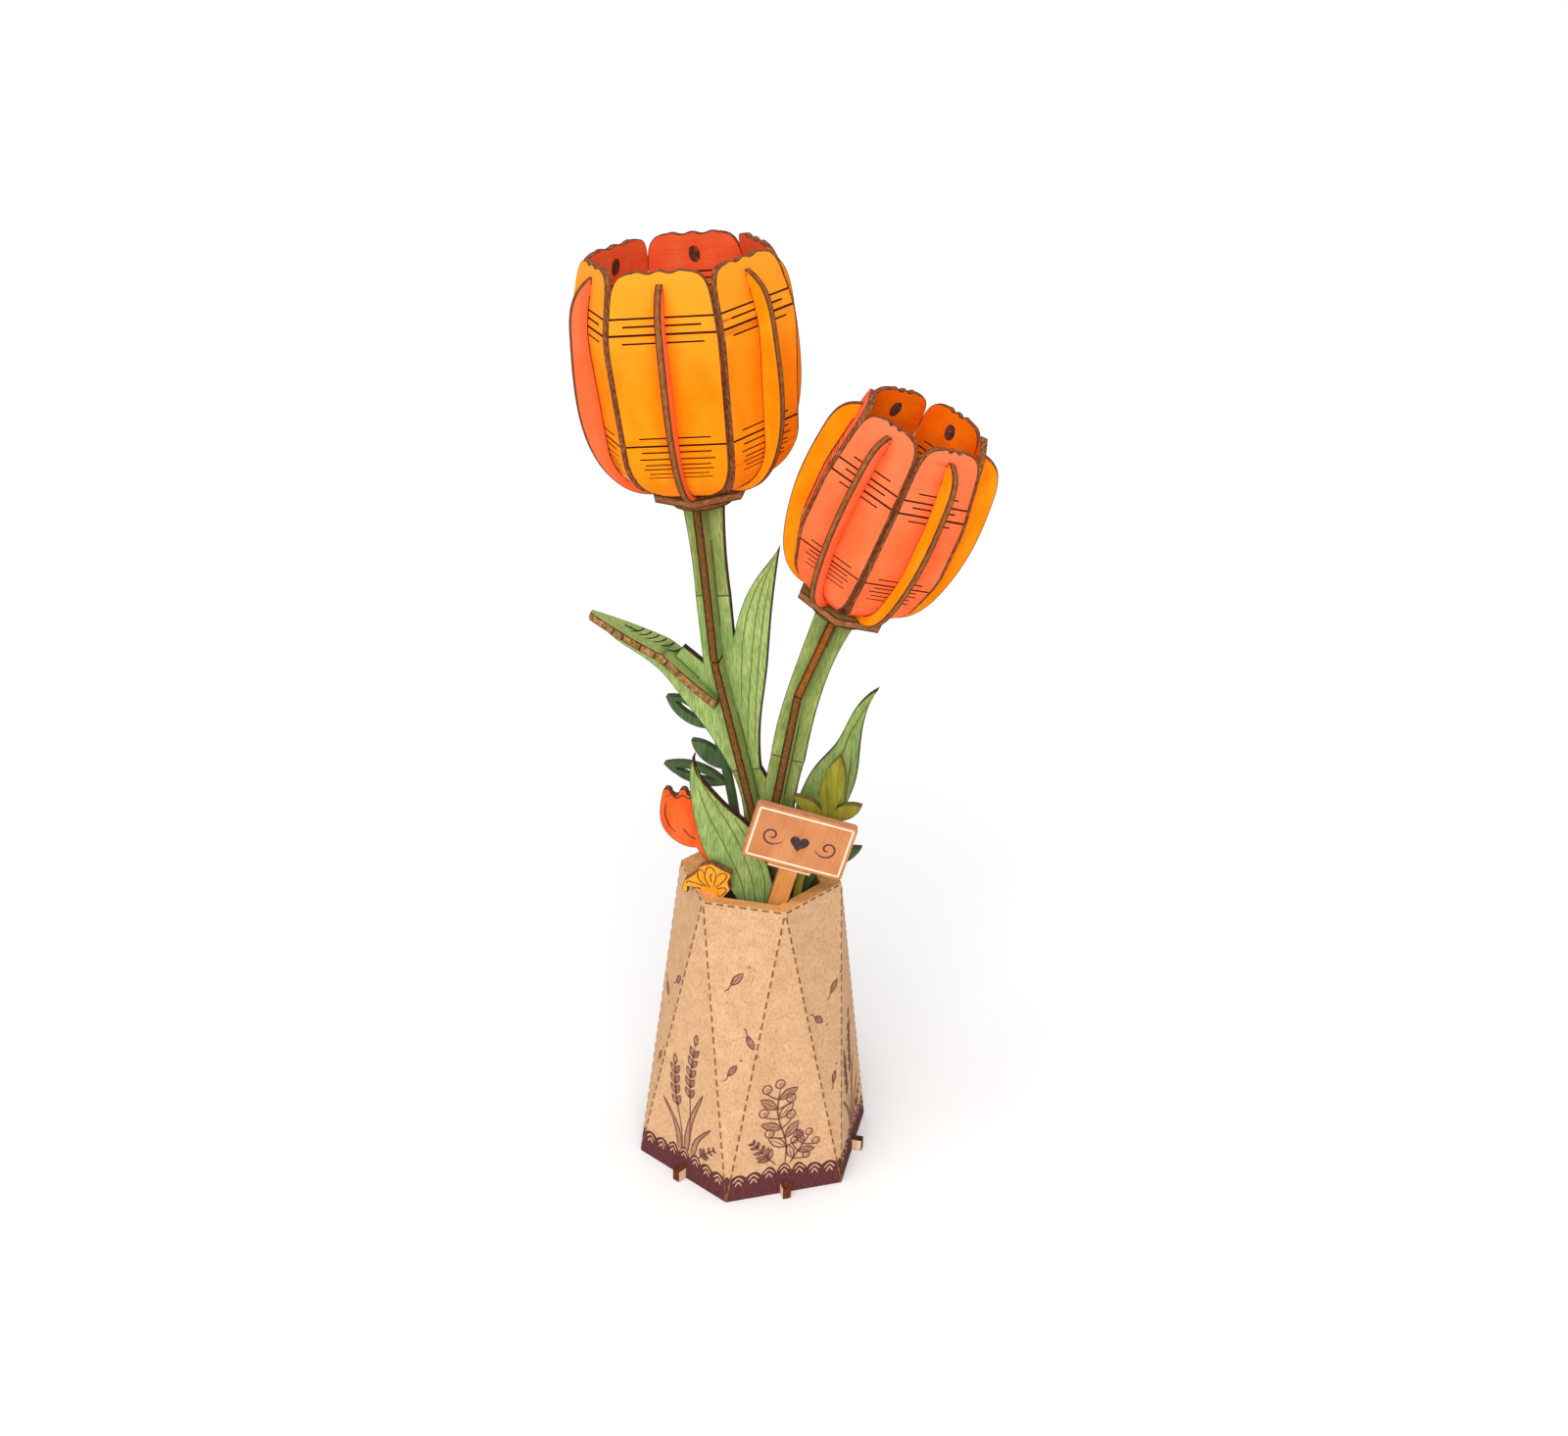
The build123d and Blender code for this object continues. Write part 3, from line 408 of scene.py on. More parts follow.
def printed(name, dark, main, light, grain, waves=ALONG, painted_shade_tone=None, pale=None):
    """Print on plywood: soft clouds of three tones, with the grain showing through by its strength.

    A painted shade tone darkens the corners between pieces, and a pale one is that of the sheet above
    PALE_SPAN.
    """
    shader = Shader(name, PRINT_ROUGH)
    colour = shader.ramp(shader.noise(PRINT_CLOUD), CLOUD_STOPS, (dark, main, light))
    streaks = shader.noise(waves)
    colour = shader.mixed(colour, shader.ramp(streaks, GRAIN_STOPS, GRAIN_VEIL), grain, "MULTIPLY")
    if pale:
        colour = shader.faded(colour, pale)
    # Painted shade in the corners between pieces
    if painted_shade_tone:
        colour = shader.painted_crevice_shade(colour, painted_shade_tone)
    return shader.finished(colour, streaks, *PRINT_RELIEF)


def rib_edge(name, thick, soot, main, light):
    """Burnt edge of a rib: soot along its borders and paler fibres in the middle."""
    shader = Shader(name, EDGE_ROUGH)
    fibres = shader.noise(EDGE_FIBRES)
    colour = shader.ramp(fibres, RIB_STOPS, (main, light))
    size = shader.add("Math", {0: shader.lay_along("Y")}, operation="ABSOLUTE")
    veil = shader.ramp(size.outputs["Value"], [thick * share for share in SOOT_SPAN], (WHITE, soot))
    return shader.finished(shader.mixed(colour, veil, 1.0, "MULTIPLY"), fibres, *EDGE_RELIEF)


def mottled(name, *tones):
    """Burnt wood or ink: a dark, a main and a light tone, mottled along the fibres."""
    shader = Shader(name, EDGE_ROUGH)
    fibres = shader.noise(EDGE_FIBRES)
    return shader.finished(shader.ramp(fibres, FIBRE_STOPS, tones), fibres, *EDGE_RELIEF)


def kraft_card(name, *tones):
    """Kraft card: even tan with soft clouds and short dark fibres."""
    shader = Shader(name, CARD_ROUGH)
    colour = shader.ramp(shader.noise(CARD_CLOUD, CARD_CLOUD_DETAIL), CLOUD_STOPS, tones)
    fibres = shader.noise(CARD_FIBRES, CARD_FIBRE_DETAIL)
    colour = shader.mixed(colour, shader.ramp(fibres, CARD_STOPS, CARD_VEIL), CARD_GRAIN, "MULTIPLY")
    return shader.finished(colour, fibres, *CARD_RELIEF)


# Burnt edges, rims and cuts
EDGE = mottled("burnt_edge", (84, 48, 36), (126, 78, 56), (170, 118, 88))
SOOTY_EDGE = mottled("sooty_edge", (50, 28, 22), (70, 42, 34), (104, 68, 52))
PETAL_EDGE = mottled("petal_edge", (92, 50, 28), (136, 80, 46), (180, 120, 72))
OLIVE_EDGE = mottled("olive_edge", (86, 78, 30), (112, 102, 42), (138, 126, 58))
DARK_EDGE = mottled("dark_edge", (58, 68, 46), (78, 90, 62), (100, 112, 80))
FOOT_EDGE = mottled("foot_edge", (72, 30, 16), (100, 46, 26), (130, 72, 44))
WARM_EDGE = mottled("warm_edge", (92, 52, 26), (140, 84, 44), (176, 120, 70))
SIGN_EDGE = mottled("sign_edge", (184, 118, 78), (202, 136, 94), (216, 152, 110))
LEAF_EDGE = mottled("pale_edge", (104, 72, 36), (146, 108, 62), (184, 144, 88))
RIM = mottled("burnt_rim", (70, 38, 30), (98, 58, 46), (132, 84, 66))
GREEN_RIM = mottled("green_rim", (76, 78, 40), (92, 96, 50), (114, 118, 64))
SIGN_RIM = mottled("sign_rim", (150, 92, 60), (172, 110, 74), (192, 130, 92))
KERF = mottled("kerf_soot", (58, 26, 10), (74, 34, 14), (96, 50, 24))
CUT = mottled("leaf_cut", (52, 62, 34), (66, 76, 42), (84, 94, 54))
RIB_EDGE = rib_edge("rib_edge", THIN, (136, 116, 106), (114, 64, 30), (164, 106, 58))
PLATE_EDGE = rib_edge("plate_edge", PLY, (118, 100, 92), (118, 70, 40), (174, 118, 74))
STEM_RIB = rib_edge("stem_rib_edge", PLY, (112, 94, 86), (84, 52, 20), (132, 88, 44))
WARM_RIB = rib_edge("warm_rib_edge", PLY, (112, 94, 86), (110, 58, 18), (160, 96, 40))

# Prints of the heads and the small pieces
# The tone after the grain's waves is painted shade in the corners by the ribs; the one after it is the paler
# top
TALL_OUT = printed("tall_petal_outside", (255, 132, 2), (255, 140, 8), (255, 150, 22), 0.22, ACROSS,
                   (250, 112, 0), (255, 163, 48))
CORAL = printed("coral_print", (255, 106, 56), (255, 115, 66), (255, 124, 76), 0.22, ACROSS,
                (248, 84, 34), (255, 130, 90))
SCARLET = printed("scarlet_print", (255, 96, 50), (255, 107, 58), (255, 118, 68), 0.22, ACROSS)
AMBER = printed("amber_print", (255, 132, 0), (255, 144, 4), (255, 158, 22), 0.22)
TANGERINE = printed("tangerine_print", (255, 102, 0), (255, 113, 2), (255, 128, 14), 0.22, ACROSS)
BUD_ORANGE = printed("bud_orange", (250, 82, 26), (254, 96, 38), (255, 108, 50), 0.4)
BUTTERFLY = printed("butterfly_yellow", (240, 148, 28), (250, 162, 40), (255, 176, 60), 0.45)
SIGN_TAN = printed("sign_tan", (192, 122, 76), (200, 130, 84), (208, 140, 94), 0.2)
STAKE_TAN = printed("stake_tan", (190, 122, 60), (203, 135, 70), (216, 152, 86), 0.5)
BARE_PLY = printed("bare_plywood", (236, 190, 144), (246, 206, 164), (252, 220, 186), 0.6)

# Greens
# The last tone of each green is painted shade in the corners by the ribs and the other pieces
STEM_GREEN = printed("stem_green", (138, 158, 86), (160, 172, 98), (180, 188, 112), 0.95, FLECKS,
                     (122, 142, 72))
LEAF_GREEN = printed("leaf_green", (148, 178, 104), (168, 188, 112), (186, 200, 124), 0.95, FLECKS,
                     (116, 150, 76))
# Darker copy of the leaf green: painted shade, given to the front and right leaves
PAINTED_SHADE_GREEN = printed("painted_shade_leaf_green", (130, 163, 92), (149, 172, 98), (168, 186, 112), 0.95, FLECKS,
                      (112, 146, 74))
OLIVE = printed("olive_print", (122, 121, 35), (142, 135, 43), (160, 151, 57), 0.8, ALONG, (104, 105, 32))
DARK_GREEN = printed("dark_green", (66, 92, 58), (80, 106, 68), (94, 120, 80), 0.7)
CALYX_TOP = printed("calyx_top", (122, 128, 60), (148, 148, 78), (170, 164, 96), 0.6)

# Card and inks
KRAFT = kraft_card("kraft_card", (205, 163, 124), (211, 170, 131), (217, 177, 139))
KRAFT_INSIDE = kraft_card("kraft_inside", (226, 162, 101), (238, 174, 111), (247, 186, 123))
INK = mottled("brown_ink", (104, 62, 56), (120, 76, 68), (138, 92, 80))
WASH = mottled("pale_wash", (160, 112, 88), (172, 124, 98), (184, 136, 108))
PERFORATION = mottled("fold_perforation", (110, 70, 34), (132, 90, 48), (156, 112, 68))
PLUM = mottled("plum_ink", (84, 44, 46), (94, 50, 52), (104, 58, 58))
PALE_INK = mottled("pale_ink", (244, 208, 180), (250, 218, 192), (254, 226, 204))
DARK_INK = mottled("dark_ink", (62, 44, 48), (72, 52, 56), (84, 62, 64))
VEIN = mottled("leaf_vein", (98, 102, 44), (112, 114, 54), (128, 128, 66))


def new_object(name, data):
    thing = bpy.data.objects.new(name, data)
    bpy.context.scene.collection.objects.link(thing)
    return thing


def show(name, mesh, materials, place, node):
    """Piece on the one body, with its lay: each vertex in its place's millimetres."""
    for material in materials:
        mesh.materials.append(material)
    inward = place.inverted()
    lay = mesh.attributes.new("lay", "FLOAT_VECTOR", "POINT")
    for vertex, entry in zip(mesh.vertices, lay.data):
        entry.vector = (inward @ vertex.co) / MM
    piece = new_object(name, mesh)
    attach(piece, "root")
    return piece


def finish_piece(work, node, materials, place):
    """Dressed piece that stands for a solid node."""
    name = node + "_look"
    mesh = bpy.data.meshes.new(name)
    work.to_mesh(mesh)
    work.free()
    mesh.shade_smooth()
    mesh.set_sharp_from_angle(angle=radians(SHARP))
    piece = show(name, mesh, materials, place, node)
    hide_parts(node)


def clean_copy(node):
    """Mesh of a solid node with its flat faces made whole."""
    work = bmesh.new()
    work.from_mesh(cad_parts[node].data)
    bmesh.ops.remove_doubles(work, verts=work.verts, dist=WELD * MM)
    bmesh.ops.dissolve_limit(work, angle_limit=radians(FLAT), verts=work.verts, edges=work.edges)
    bmesh.ops.recalc_face_normals(work, faces=work.faces)
    return work


def rim_steps(work, faces):
    """Step inwards and normal of each vertex on the outline of some faces."""
    found = {}
    for edge in work.edges:
        loops = [loop for loop in edge.link_loops if loop.face in faces]
        if len(loops) != 1 or edge.calc_length() < SPECK:
            continue
        loop = loops[0]
        along = (loop.link_loop_next.vert.co - loop.vert.co).normalized()
        normal = loop.face.normal
        for vertex in edge.verts:
            found.setdefault(vertex, []).append((normal.cross(along), normal))
    steps = {}
    for vertex, pairs in found.items():
        sides, normals = zip(*pairs)
        middle = sum(sides, Vector())
        if middle.length * MM > SPECK:
            middle.normalize()
            stretch = 1 / max(middle.dot(sides[0]), MITRE)
            steps[vertex] = (middle * stretch, sum(normals, Vector()).normalized())
    return steps


def burn_rims(work, faces, rim_index):
    """Burnt line inside the outline of some faces, falling towards the edge."""
    steps = rim_steps(work, faces)
    homes = {vertex: vertex.co.copy() for vertex in steps}
    ring = bmesh.ops.inset_region(work, faces=list(faces), thickness=RIM_WIDTH * MM, use_boundary=True)
    fallen = set()
    for face in ring["faces"]:
        face.material_index = rim_index
        for edge in face.edges:
            for kept, added in (edge.verts, reversed(edge.verts)):
                if kept in steps and added not in steps and added not in fallen:
                    added.co -= steps[kept][1] * RIM_DROP * MM
                    fallen.add(added)
    for vertex, home in homes.items():
        vertex.co = home + steps[vertex][0] * RIM_WIDTH * MM


def burn_sides(work):
    """Burnt lines on the front and the back of a cut piece."""
    for side in (AT_FRONT, AT_BACK):
        burn_rims(work, {face for face in work.faces if face.material_index == side}, AT_RIM)


def bisect(work, faces, spot, normal):
    """Cut some faces along a plane."""
    geometry = set(faces)
    for face in faces:
        geometry.update(face.edges)
        geometry.update(face.verts)
    bmesh.ops.bisect_plane(work, geom=list(geometry), dist=SPECK, plane_co=spot, plane_no=normal)


def printed_faces(work):
    return [face for face in work.faces if face.material_index in (AT_FRONT, AT_BACK)]


def in_span(face, inward, axis, middle, half):
    """Whether a face lies within half a width of a level along an axis of a place."""
    return all(abs((inward @ vertex.co).dot(axis) / MM - middle) < half + KERF_PLAY for vertex in face.verts)


def kerf_strip(work, inward, height, half):
    return [face for face in printed_faces(work) if in_span(face, inward, Z, height, half)]


def cut_kerf(work, place, height, half_span, half):
    """Groove across the two faces of a petal, at a height above the calyx."""
    inward = place.inverted()
    for level in (height - half, height + half):
        bisect(work, printed_faces(work), spot_in(place, 0, 0, level), heading(place, Z))
    strip = kerf_strip(work, inward, height, half)
    if half_span:
        for offset in (-half_span, half_span):
            bisect(work, strip, spot_in(place, 0, offset, 0), heading(place, Y))
            strip = kerf_strip(work, inward, height, half)
        strip = [face for face in strip if in_span(face, inward, Y, 0, half_span)]
    if strip:
        walls = bmesh.ops.inset_region(work, faces=strip, thickness=KERF_WALL * MM, depth=-KERF_DEPTH * MM,
                                       use_boundary=True)
        for face in strip + walls["faces"]:
            face.material_index = AT_EXTRA


def cut_board(node, place, front, edge=EDGE, rim=RIM, back=None, bare_below=None):
    """Flat cut piece: print on its two faces (front is towards -Y of its place), burnt edges.

    Its back may have its own print, and its faces may be bare wood below a height.
    """
    work = clean_copy(node)
    if bare_below:
        bisect(work, list(work.faces), bare_below * MM * Z, Z)
    inward = place.inverted()
    for face in work.faces:
        through = (inward.to_3x3() @ face.normal).y
        side = AT_FRONT if through < 0 else AT_BACK
        face.material_index = side if abs(through) > SQUARE else AT_EDGE
    burn_sides(work)
    for face in printed_faces(work):
        if bare_below and face.calc_center_median().z < bare_below * MM:
            face.material_index = AT_EXTRA
    levels = [(inward @ vertex.co).y for vertex in work.verts]
    middle = place @ Matrix.Translation((0, (min(levels) + max(levels)) / 2, 0))
    finish_piece(work, node, [front, back or front, edge, rim, BARE_PLY], middle)


def head_place(head):
    return moved(head["spot"]) @ turned("Y", head["lean"])


def petal_place(head, number):
    """Place at the foot of a head's axis: X out through the petal, Y across it, Z along the axis."""
    return head_place(head) @ turned("Z", head["turn"] - 90 + PETAL_TURN * (number - 1))


def petal_side(face, inward, half_height):
    """Material place of a face of a petal: outside, inside or edge."""
    normal = inward.to_3x3() @ face.normal
    height = (inward @ face.calc_center_median()).z / MM
    side_edge = abs(normal.y) > SIDEWISE
    top_edge = normal.z > ENDWISE and height > half_height
    foot_edge = normal.x < -ENDWISE and height < PETAL_FOOT
    if side_edge or top_edge or foot_edge:
        return AT_EDGE
    return AT_FRONT if normal.x > 0 else AT_BACK


def swell_sides(work, place):
    """Bring a petal's sides nearer to its neighbours, so that no line of light shows between them."""
    turn = place.to_3x3().inverted()
    step = heading(place, Y) * PETAL_SWELL * MM
    shifts = {}
    for face in work.faces:
        lean = (turn @ face.normal).y
        if abs(lean) > SIDEWISE:
            for vertex in face.verts:
                shifts[vertex] = step if lean > 0 else -step
    for vertex, shift in shifts.items():
        vertex.co += shift


def bent_petal(node, place, top, kerfs, outside, inside):
    """Petal with print outside and inside, burnt edges and kerfs across its bends."""
    inward = place.inverted()
    work = clean_copy(node)
    swell_sides(work, place)
    for face in work.faces:
        face.material_index = petal_side(face, inward, top / 2)
    burn_sides(work)
    for kerf in kerfs:
        cut_kerf(work, place, *kerf)
    finish_piece(work, node, [outside, inside, PETAL_EDGE, RIM, KERF], place @ turned("Z", 90))


def burn_peg_hole(node, place, height):
    """Burnt oval round the end of a rib's tab inside its petal."""
    petal = BVHTree.FromBMesh(clean_copy(node))
    outward = heading(place, X)

    def on_inside(spot):
        wall = petal.ray_cast(spot_in(place, 0, *spot), outward)[0]
        return wall - outward * MARK_LIFT * MM

    marks = Marks(on_inside)
    wide, high = PEG_BURN
    marks.patch([(x * wide, height + z * high) for x, z in round_dot((0, 0), 1.0, PEG_STEPS)])
    marks.piece(node + "_peg_burn", RIM, node)


def dress_petal(name, number, outside, inside):
    """Petal, and its rib: amber on one face, and on the other coral or amber."""
    top = HEADS[name]["top"]
    place = petal_place(HEADS[name], number)
    node = "%s_petal_%d" % (name, number)
    bent_petal(node, place, top, KERFS[name], outside, inside)
    burn_peg_hole(node, place, top - PEG_DROP)
    away = AMBER if name == "short" and number > 1 else CORAL
    cut_board("%s_petal_rib_%d" % (name, number), place, AMBER, RIB_EDGE, back=away)


def dress_calyx(name):
    flat = head_place(HEADS[name]) @ turned("Z", HEADS[name]["plate"]) @ turned("X", 90)
    for part in ("calyx_plate", "calyx_washer"):
        cut_board("%s_%s" % (name, part), flat, CALYX_TOP, PLATE_EDGE)


def dress_heads():
    for name, outside, inside in (("tall", TALL_OUT, SCARLET), ("short", CORAL, TANGERINE)):
        for number in range(1, PETALS + 1):
            dress_petal(name, number, outside, inside)
        dress_calyx(name)


def green_board(node, lean, colour, bare_below=None):
    """Board of a stem, with its grain along the stem."""
    cut_board(node, turned("Y", lean), colour, SOOTY_EDGE, GREEN_RIM, bare_below=bare_below)


def dress_stems():
    green_board("stem_fork_board", 0, STEM_GREEN, DECK_LEVEL)
    green_board("tall_leaf_board", STEM_LEANS["tall_lower"] / 2, LEAF_GREEN)
    green_board("tall_top_board", STEM_LEANS["tall_upper"], STEM_GREEN)
    green_board("short_top_board", STEM_LEANS["short_lower"], STEM_GREEN)
    for stem, lean in STEM_LEANS.items():
        edge = WARM_RIB if stem == "short_upper" else STEM_RIB
        cut_board(stem + "_rib", turned("Y", lean) @ turned("Z", 90), STEM_GREEN, edge)


def dress_standing():
    """Pieces that stand in the deck or on the rim, the deck, the foot boards and the sign."""
    for node, colour, edge, rim in (
        ("front_leaf", PAINTED_SHADE_GREEN, SOOTY_EDGE, GREEN_RIM),
        ("right_leaf", PAINTED_SHADE_GREEN, SOOTY_EDGE, GREEN_RIM),
        ("olive_sprig", OLIVE, OLIVE_EDGE, OLIVE_EDGE),
        ("low_sprig", DARK_GREEN, DARK_EDGE, DARK_EDGE),
        ("dark_sprig", DARK_GREEN, DARK_EDGE, DARK_EDGE),
        ("bud_tulip", BUD_ORANGE, EDGE, RIM),
        ("butterfly", BUTTERFLY, EDGE, WARM_EDGE),
    ):
        cut_board(node, PLAIN, colour, edge, rim)
    for node, turn in (("foot_brace_left", BRACE_TURN), ("foot_brace_right", -BRACE_TURN)):
        cut_board(node, turned("Z", turn), BARE_PLY, FOOT_EDGE, FOOT_EDGE)
    cut_board("deck_plate", turned("X", 90), DARK_GREEN)
    for node, colour in (("sign_board", SIGN_TAN), ("sign_stake", STAKE_TAN)):
        cut_board(node, sign_turn(), colour, SIGN_EDGE, SIGN_RIM)


def sign_turn():
    return turned("Z", SIGN_TURN) @ turned("Y", SIGN_TILT)


def dress_bent_leaf():
    """Bent leaf: print above and below, burnt lines round those faces and its near edge."""
    at_print, at_edge, at_rim = range(3)
    work = clean_copy("bent_leaf")
    shape = BVHTree.FromBMesh(work)
    printed_sides, near_edge = set(), set()
    for face in work.faces:
        face.material_index = at_edge
        if abs(face.normal.y) < SIDEWISE and abs(face.normal.z) > SIDEWISE:
            face.material_index = at_print
            printed_sides.add(face)
        elif face.normal.y < -SIDEWISE:
            near_edge.add(face)
    burn_rims(work, printed_sides, at_rim)
    burn_rims(work, near_edge, at_rim)
    finish_piece(work, "bent_leaf", [LEAF_GREEN, LEAF_EDGE, RIM], turned("Y", -90))
    mark_bent_leaf(shape)


def mark_bent_leaf(shape):
    """Curved cuts that let the leaf bend, a slit near its tip, and ticks on its near edge."""

    def top_at(across, depth):
        spot, normal = shape.ray_cast(Vector((across * MM, depth * MM, AFAR)), -Z)[:2]
        return spot + normal * MARK_LIFT * MM, normal

    def on_edge(spot):
        wall = shape.ray_cast(Vector((spot.x, -AFAR, spot.z)), Y)[0]
        return wall - Y * MARK_LIFT * MM

    cuts = Marks(lambda spot: top_at(*spot)[0])
    for k in range(LEAF_CUTS):
        x = between(*LEAF_CUT_SPAN, k / (LEAF_CUTS - 1))
        half = leaf_half(x) - LEAF_CUT_INSET
        cuts.line(smooth([(x + shift, half * share) for shift, share in LEAF_CUT_BEND]), LEAF_CUT_LINE)
    cuts.line(smooth(LEAF_SLIT), LEAF_SLIT_LINE, LEAF_SLIT_TAPER)
    cuts.piece("bent_leaf_cuts", CUT, "bent_leaf")
    ticks = Marks(on_edge)
    for x in LEAF_TICKS:
        top, normal = top_at(x, LEAF_TICK_INSET - leaf_half(x))
        foot = top - normal * (PLY - RIM_WIDTH) * MM
        top = top - normal * RIM_WIDTH * MM
        side = Vector((normal.z, 0, -normal.x)) * LINE / 2 * MM
        ticks.patch([top - side, top + side, foot + side, foot - side])
    ticks.piece("bent_leaf_ticks", KERF, "bent_leaf")


def leaf_half(x):
    return float(interp(x, *zip(*LEAF_HALF)))


def on_sheet(place, level):
    """Drape on a flat sheet: millimetres across and along it, at a level through it."""
    return lambda spot: spot_in(place, spot[0], level, spot[1])


class Marks:
    """Thin marks on a surface, where a drape lays each spot of the drawing."""

    def __init__(self, drape):
        self.drape = drape
        self.points = []
        self.faces = []

    def add(self, outline):
        first = len(self.points)
        self.points += [self.drape(spot) for spot in outline]
        return first

    def patch(self, outline):
        first = self.add(outline)
        self.faces.append(tuple(range(first, first + len(outline))))

    def line(self, points, width=LINE, taper=TAPER, closed=False):
        """Ribbon along some points, thinner at its ends unless it is closed."""
        path = [Vector(point) for point in points]
        if closed:
            path = path + [path[0]]
        last = len(path) - 1
        outline = []
        for k, point in enumerate(path):
            before = path[k - 1] if k else (path[last - 1] if closed else point)
            after = path[k + 1] if k < last else (path[1] if closed else point)
            along = (after - before).normalized()
            share = 1.0 if closed else min(1.0, taper + TAPER_RISE * min(k, last - k) / last)
            side = Vector((-along.y, along.x)) * width / 2 * share
            outline += [point - side, point + side]
        first = self.add(outline)
        for k in range(first, first + 2 * last, 2):
            self.faces.append((k, k + 2, k + 3, k + 1))

    def piece(self, name, material, node):
        mesh = bpy.data.meshes.new(name)
        mesh.from_pydata(self.points, [], self.faces)
        show(name, mesh, [material], PLAIN, node)


def smooth(points, steps=8):
    """Curve through some points."""
    path = [Vector(point) for point in points]
    ends = [path[0]] + path + [path[-1]]
    curve = []
    for before, start, end, after in zip(ends, ends[1:], ends[2:], ends[3:]):
        for step in range(steps):
            t = step / steps
            square = 2 * before - 5 * start + 4 * end - after
            cube = 3 * start - before - 3 * end + after
            curve.append(0.5 * (2 * start + (end - before) * t + square * t ** 2 + cube * t ** 3))
    return curve + [path[-1]]


def leaflet(root, tip, width, steps=10):
    root, tip = Vector(root), Vector(tip)
    along = tip - root
    side = Vector((-along.y, along.x)).normalized() * width / 2
    edges = []
    for sign in (1, -1):
        edges.append([root + along * k / steps + side * sign * sin(pi * k / steps) for k in range(steps + 1)])
    return edges[0] + edges[1][-2:0:-1]


def around(middle, radius, angle):
    return (middle[0] + radius * cos(angle), middle[1] + radius * sin(angle))


def round_dot(middle, radius, steps=14):
    return [around(middle, radius, 2 * pi * k / steps) for k in range(steps)]


def mark_plants():
    """Veins of the leaves and lines of the bud and the butterfly."""
    inks = {"bud_tulip": RIM, "butterfly": WARM_EDGE}
    for node, (depth, width, lines) in PLANT_LINES.items():
        marks = Marks(on_sheet(moved((0, depth, 0)), -PLY / 2 - MARK_LIFT))
        for points in lines:
            marks.line(smooth(points), width)
        marks.piece(node + "_lines", inks.get(node, VEIN), node)


def heart(middle, half, steps=40):
    """Heart, from the curve that reaches 16 units to each side."""
    unit = half / 16
    outline = []
    for k in range(steps):
        t = 2 * pi * k / steps
        across = 16 * sin(t) ** 3
        along = 13 * cos(t) - 5 * cos(2 * t) - 2 * cos(3 * t) - cos(4 * t)
        outline.append((middle[0] + across * unit, middle[1] + along * unit))
    return outline


def spiral(middle, radii, angles, steps=48):
    """Curl that winds from one radius to another, between two angles."""
    points = []
    for k in range(steps + 1):
        share = k / steps
        radius = between(*radii, share ** CURL_CLOSING)
        points.append(around(middle, radius, radians(between(*angles, share))))
    return points


def mark_sign():
    """Pale frame line, a heart between two curls, and a pale line on the cross bar."""
    place = moved(SIGN_SPOT) @ sign_turn()
    front = on_sheet(place, -PLY / 2 - MARK_LIFT)
    frame_line = Marks(front)
    across, along = [half - FRAME_INSET for half in SIGN_HALF]
    corners = [(-across, -along), (across, -along), (across, along), (-across, along)]
    for start, end in zip(corners, corners[1:] + corners[:1]):
        frame_line.line([start, end], FRAME_LINE, 1.0)
    frame_line.piece("sign_board_frame_line", PALE_INK, "sign_board")
    drawing = Marks(front)
    drawing.patch(heart(HEART_SPOT, HEART_HALF))
    for sign in (1, -1):
        drawing.line([(sign * x, z) for x, z in spiral(CURL_SPOT, CURL_RADII, CURL_ANGLES)], CURL_LINE)
    drawing.piece("sign_board_drawing", DARK_INK, "sign_board")
    half, low, high = BAR_LINE
    bar = Marks(on_sheet(place, PLY / 2 - MARK_LIFT))
    bar.line([(-half, high), (-half, low), (half, low), (half, high)], LINE, 1.0)
    bar.piece("sign_stake_line", PALE_INK, "sign_stake")


def ring_corner(radius, degrees, height):
    return Vector((*around((0, 0), radius, radians(degrees)), height)) * MM


VASE_FEET = [ring_corner(VASE_BASE, SIDE_TURN * (k + 0.5), VASE_FOOT) for k in range(SIDES)]
VASE_RIMS = [ring_corner(VASE_RIM, SIDE_TURN * k, VASE_HEIGHT) for k in range(SIDES)]


def panel_place(left, right, apex):
    """Place at the foot of a vase panel: along its level edge, inwards, up its slope."""
    across = (right - left).normalized()
    middle = (left + right) / 2
    foot, top = (middle, apex) if apex.z > middle.z else (apex, middle)
    slope = top - foot
    up = (slope - across * slope.dot(across)).normalized()
    inward = up.cross(across)
    return Matrix.Translation(foot) @ Matrix((across, inward, up)).transposed().to_4x4()


def standing_place(k):
    n = (k + 1) % SIDES
    return panel_place(VASE_FEET[k], VASE_FEET[n], VASE_RIMS[n])


def hanging_place(k):
    return panel_place(VASE_RIMS[k], VASE_RIMS[(k + 1) % SIDES], VASE_FEET[k])


def dress_vase():
    """Card sleeve with its printed panels and perforated folds."""
    work = clean_copy(VASE)
    for face in work.faces:
        middle = face.calc_center_median()
        face.material_index = 1 if face.normal.x * middle.x + face.normal.y * middle.y < 0 else 0
    finish_piece(work, VASE, [KRAFT, KRAFT_INSIDE], PLAIN)
    for k in range(SIDES):
        print_panels(k)
    perforate_folds()


def pens(place):
    """Line and wash on a panel, the line over the wash."""
    return Marks(on_sheet(place, -2 * MARK_LIFT)), Marks(on_sheet(place, -MARK_LIFT))


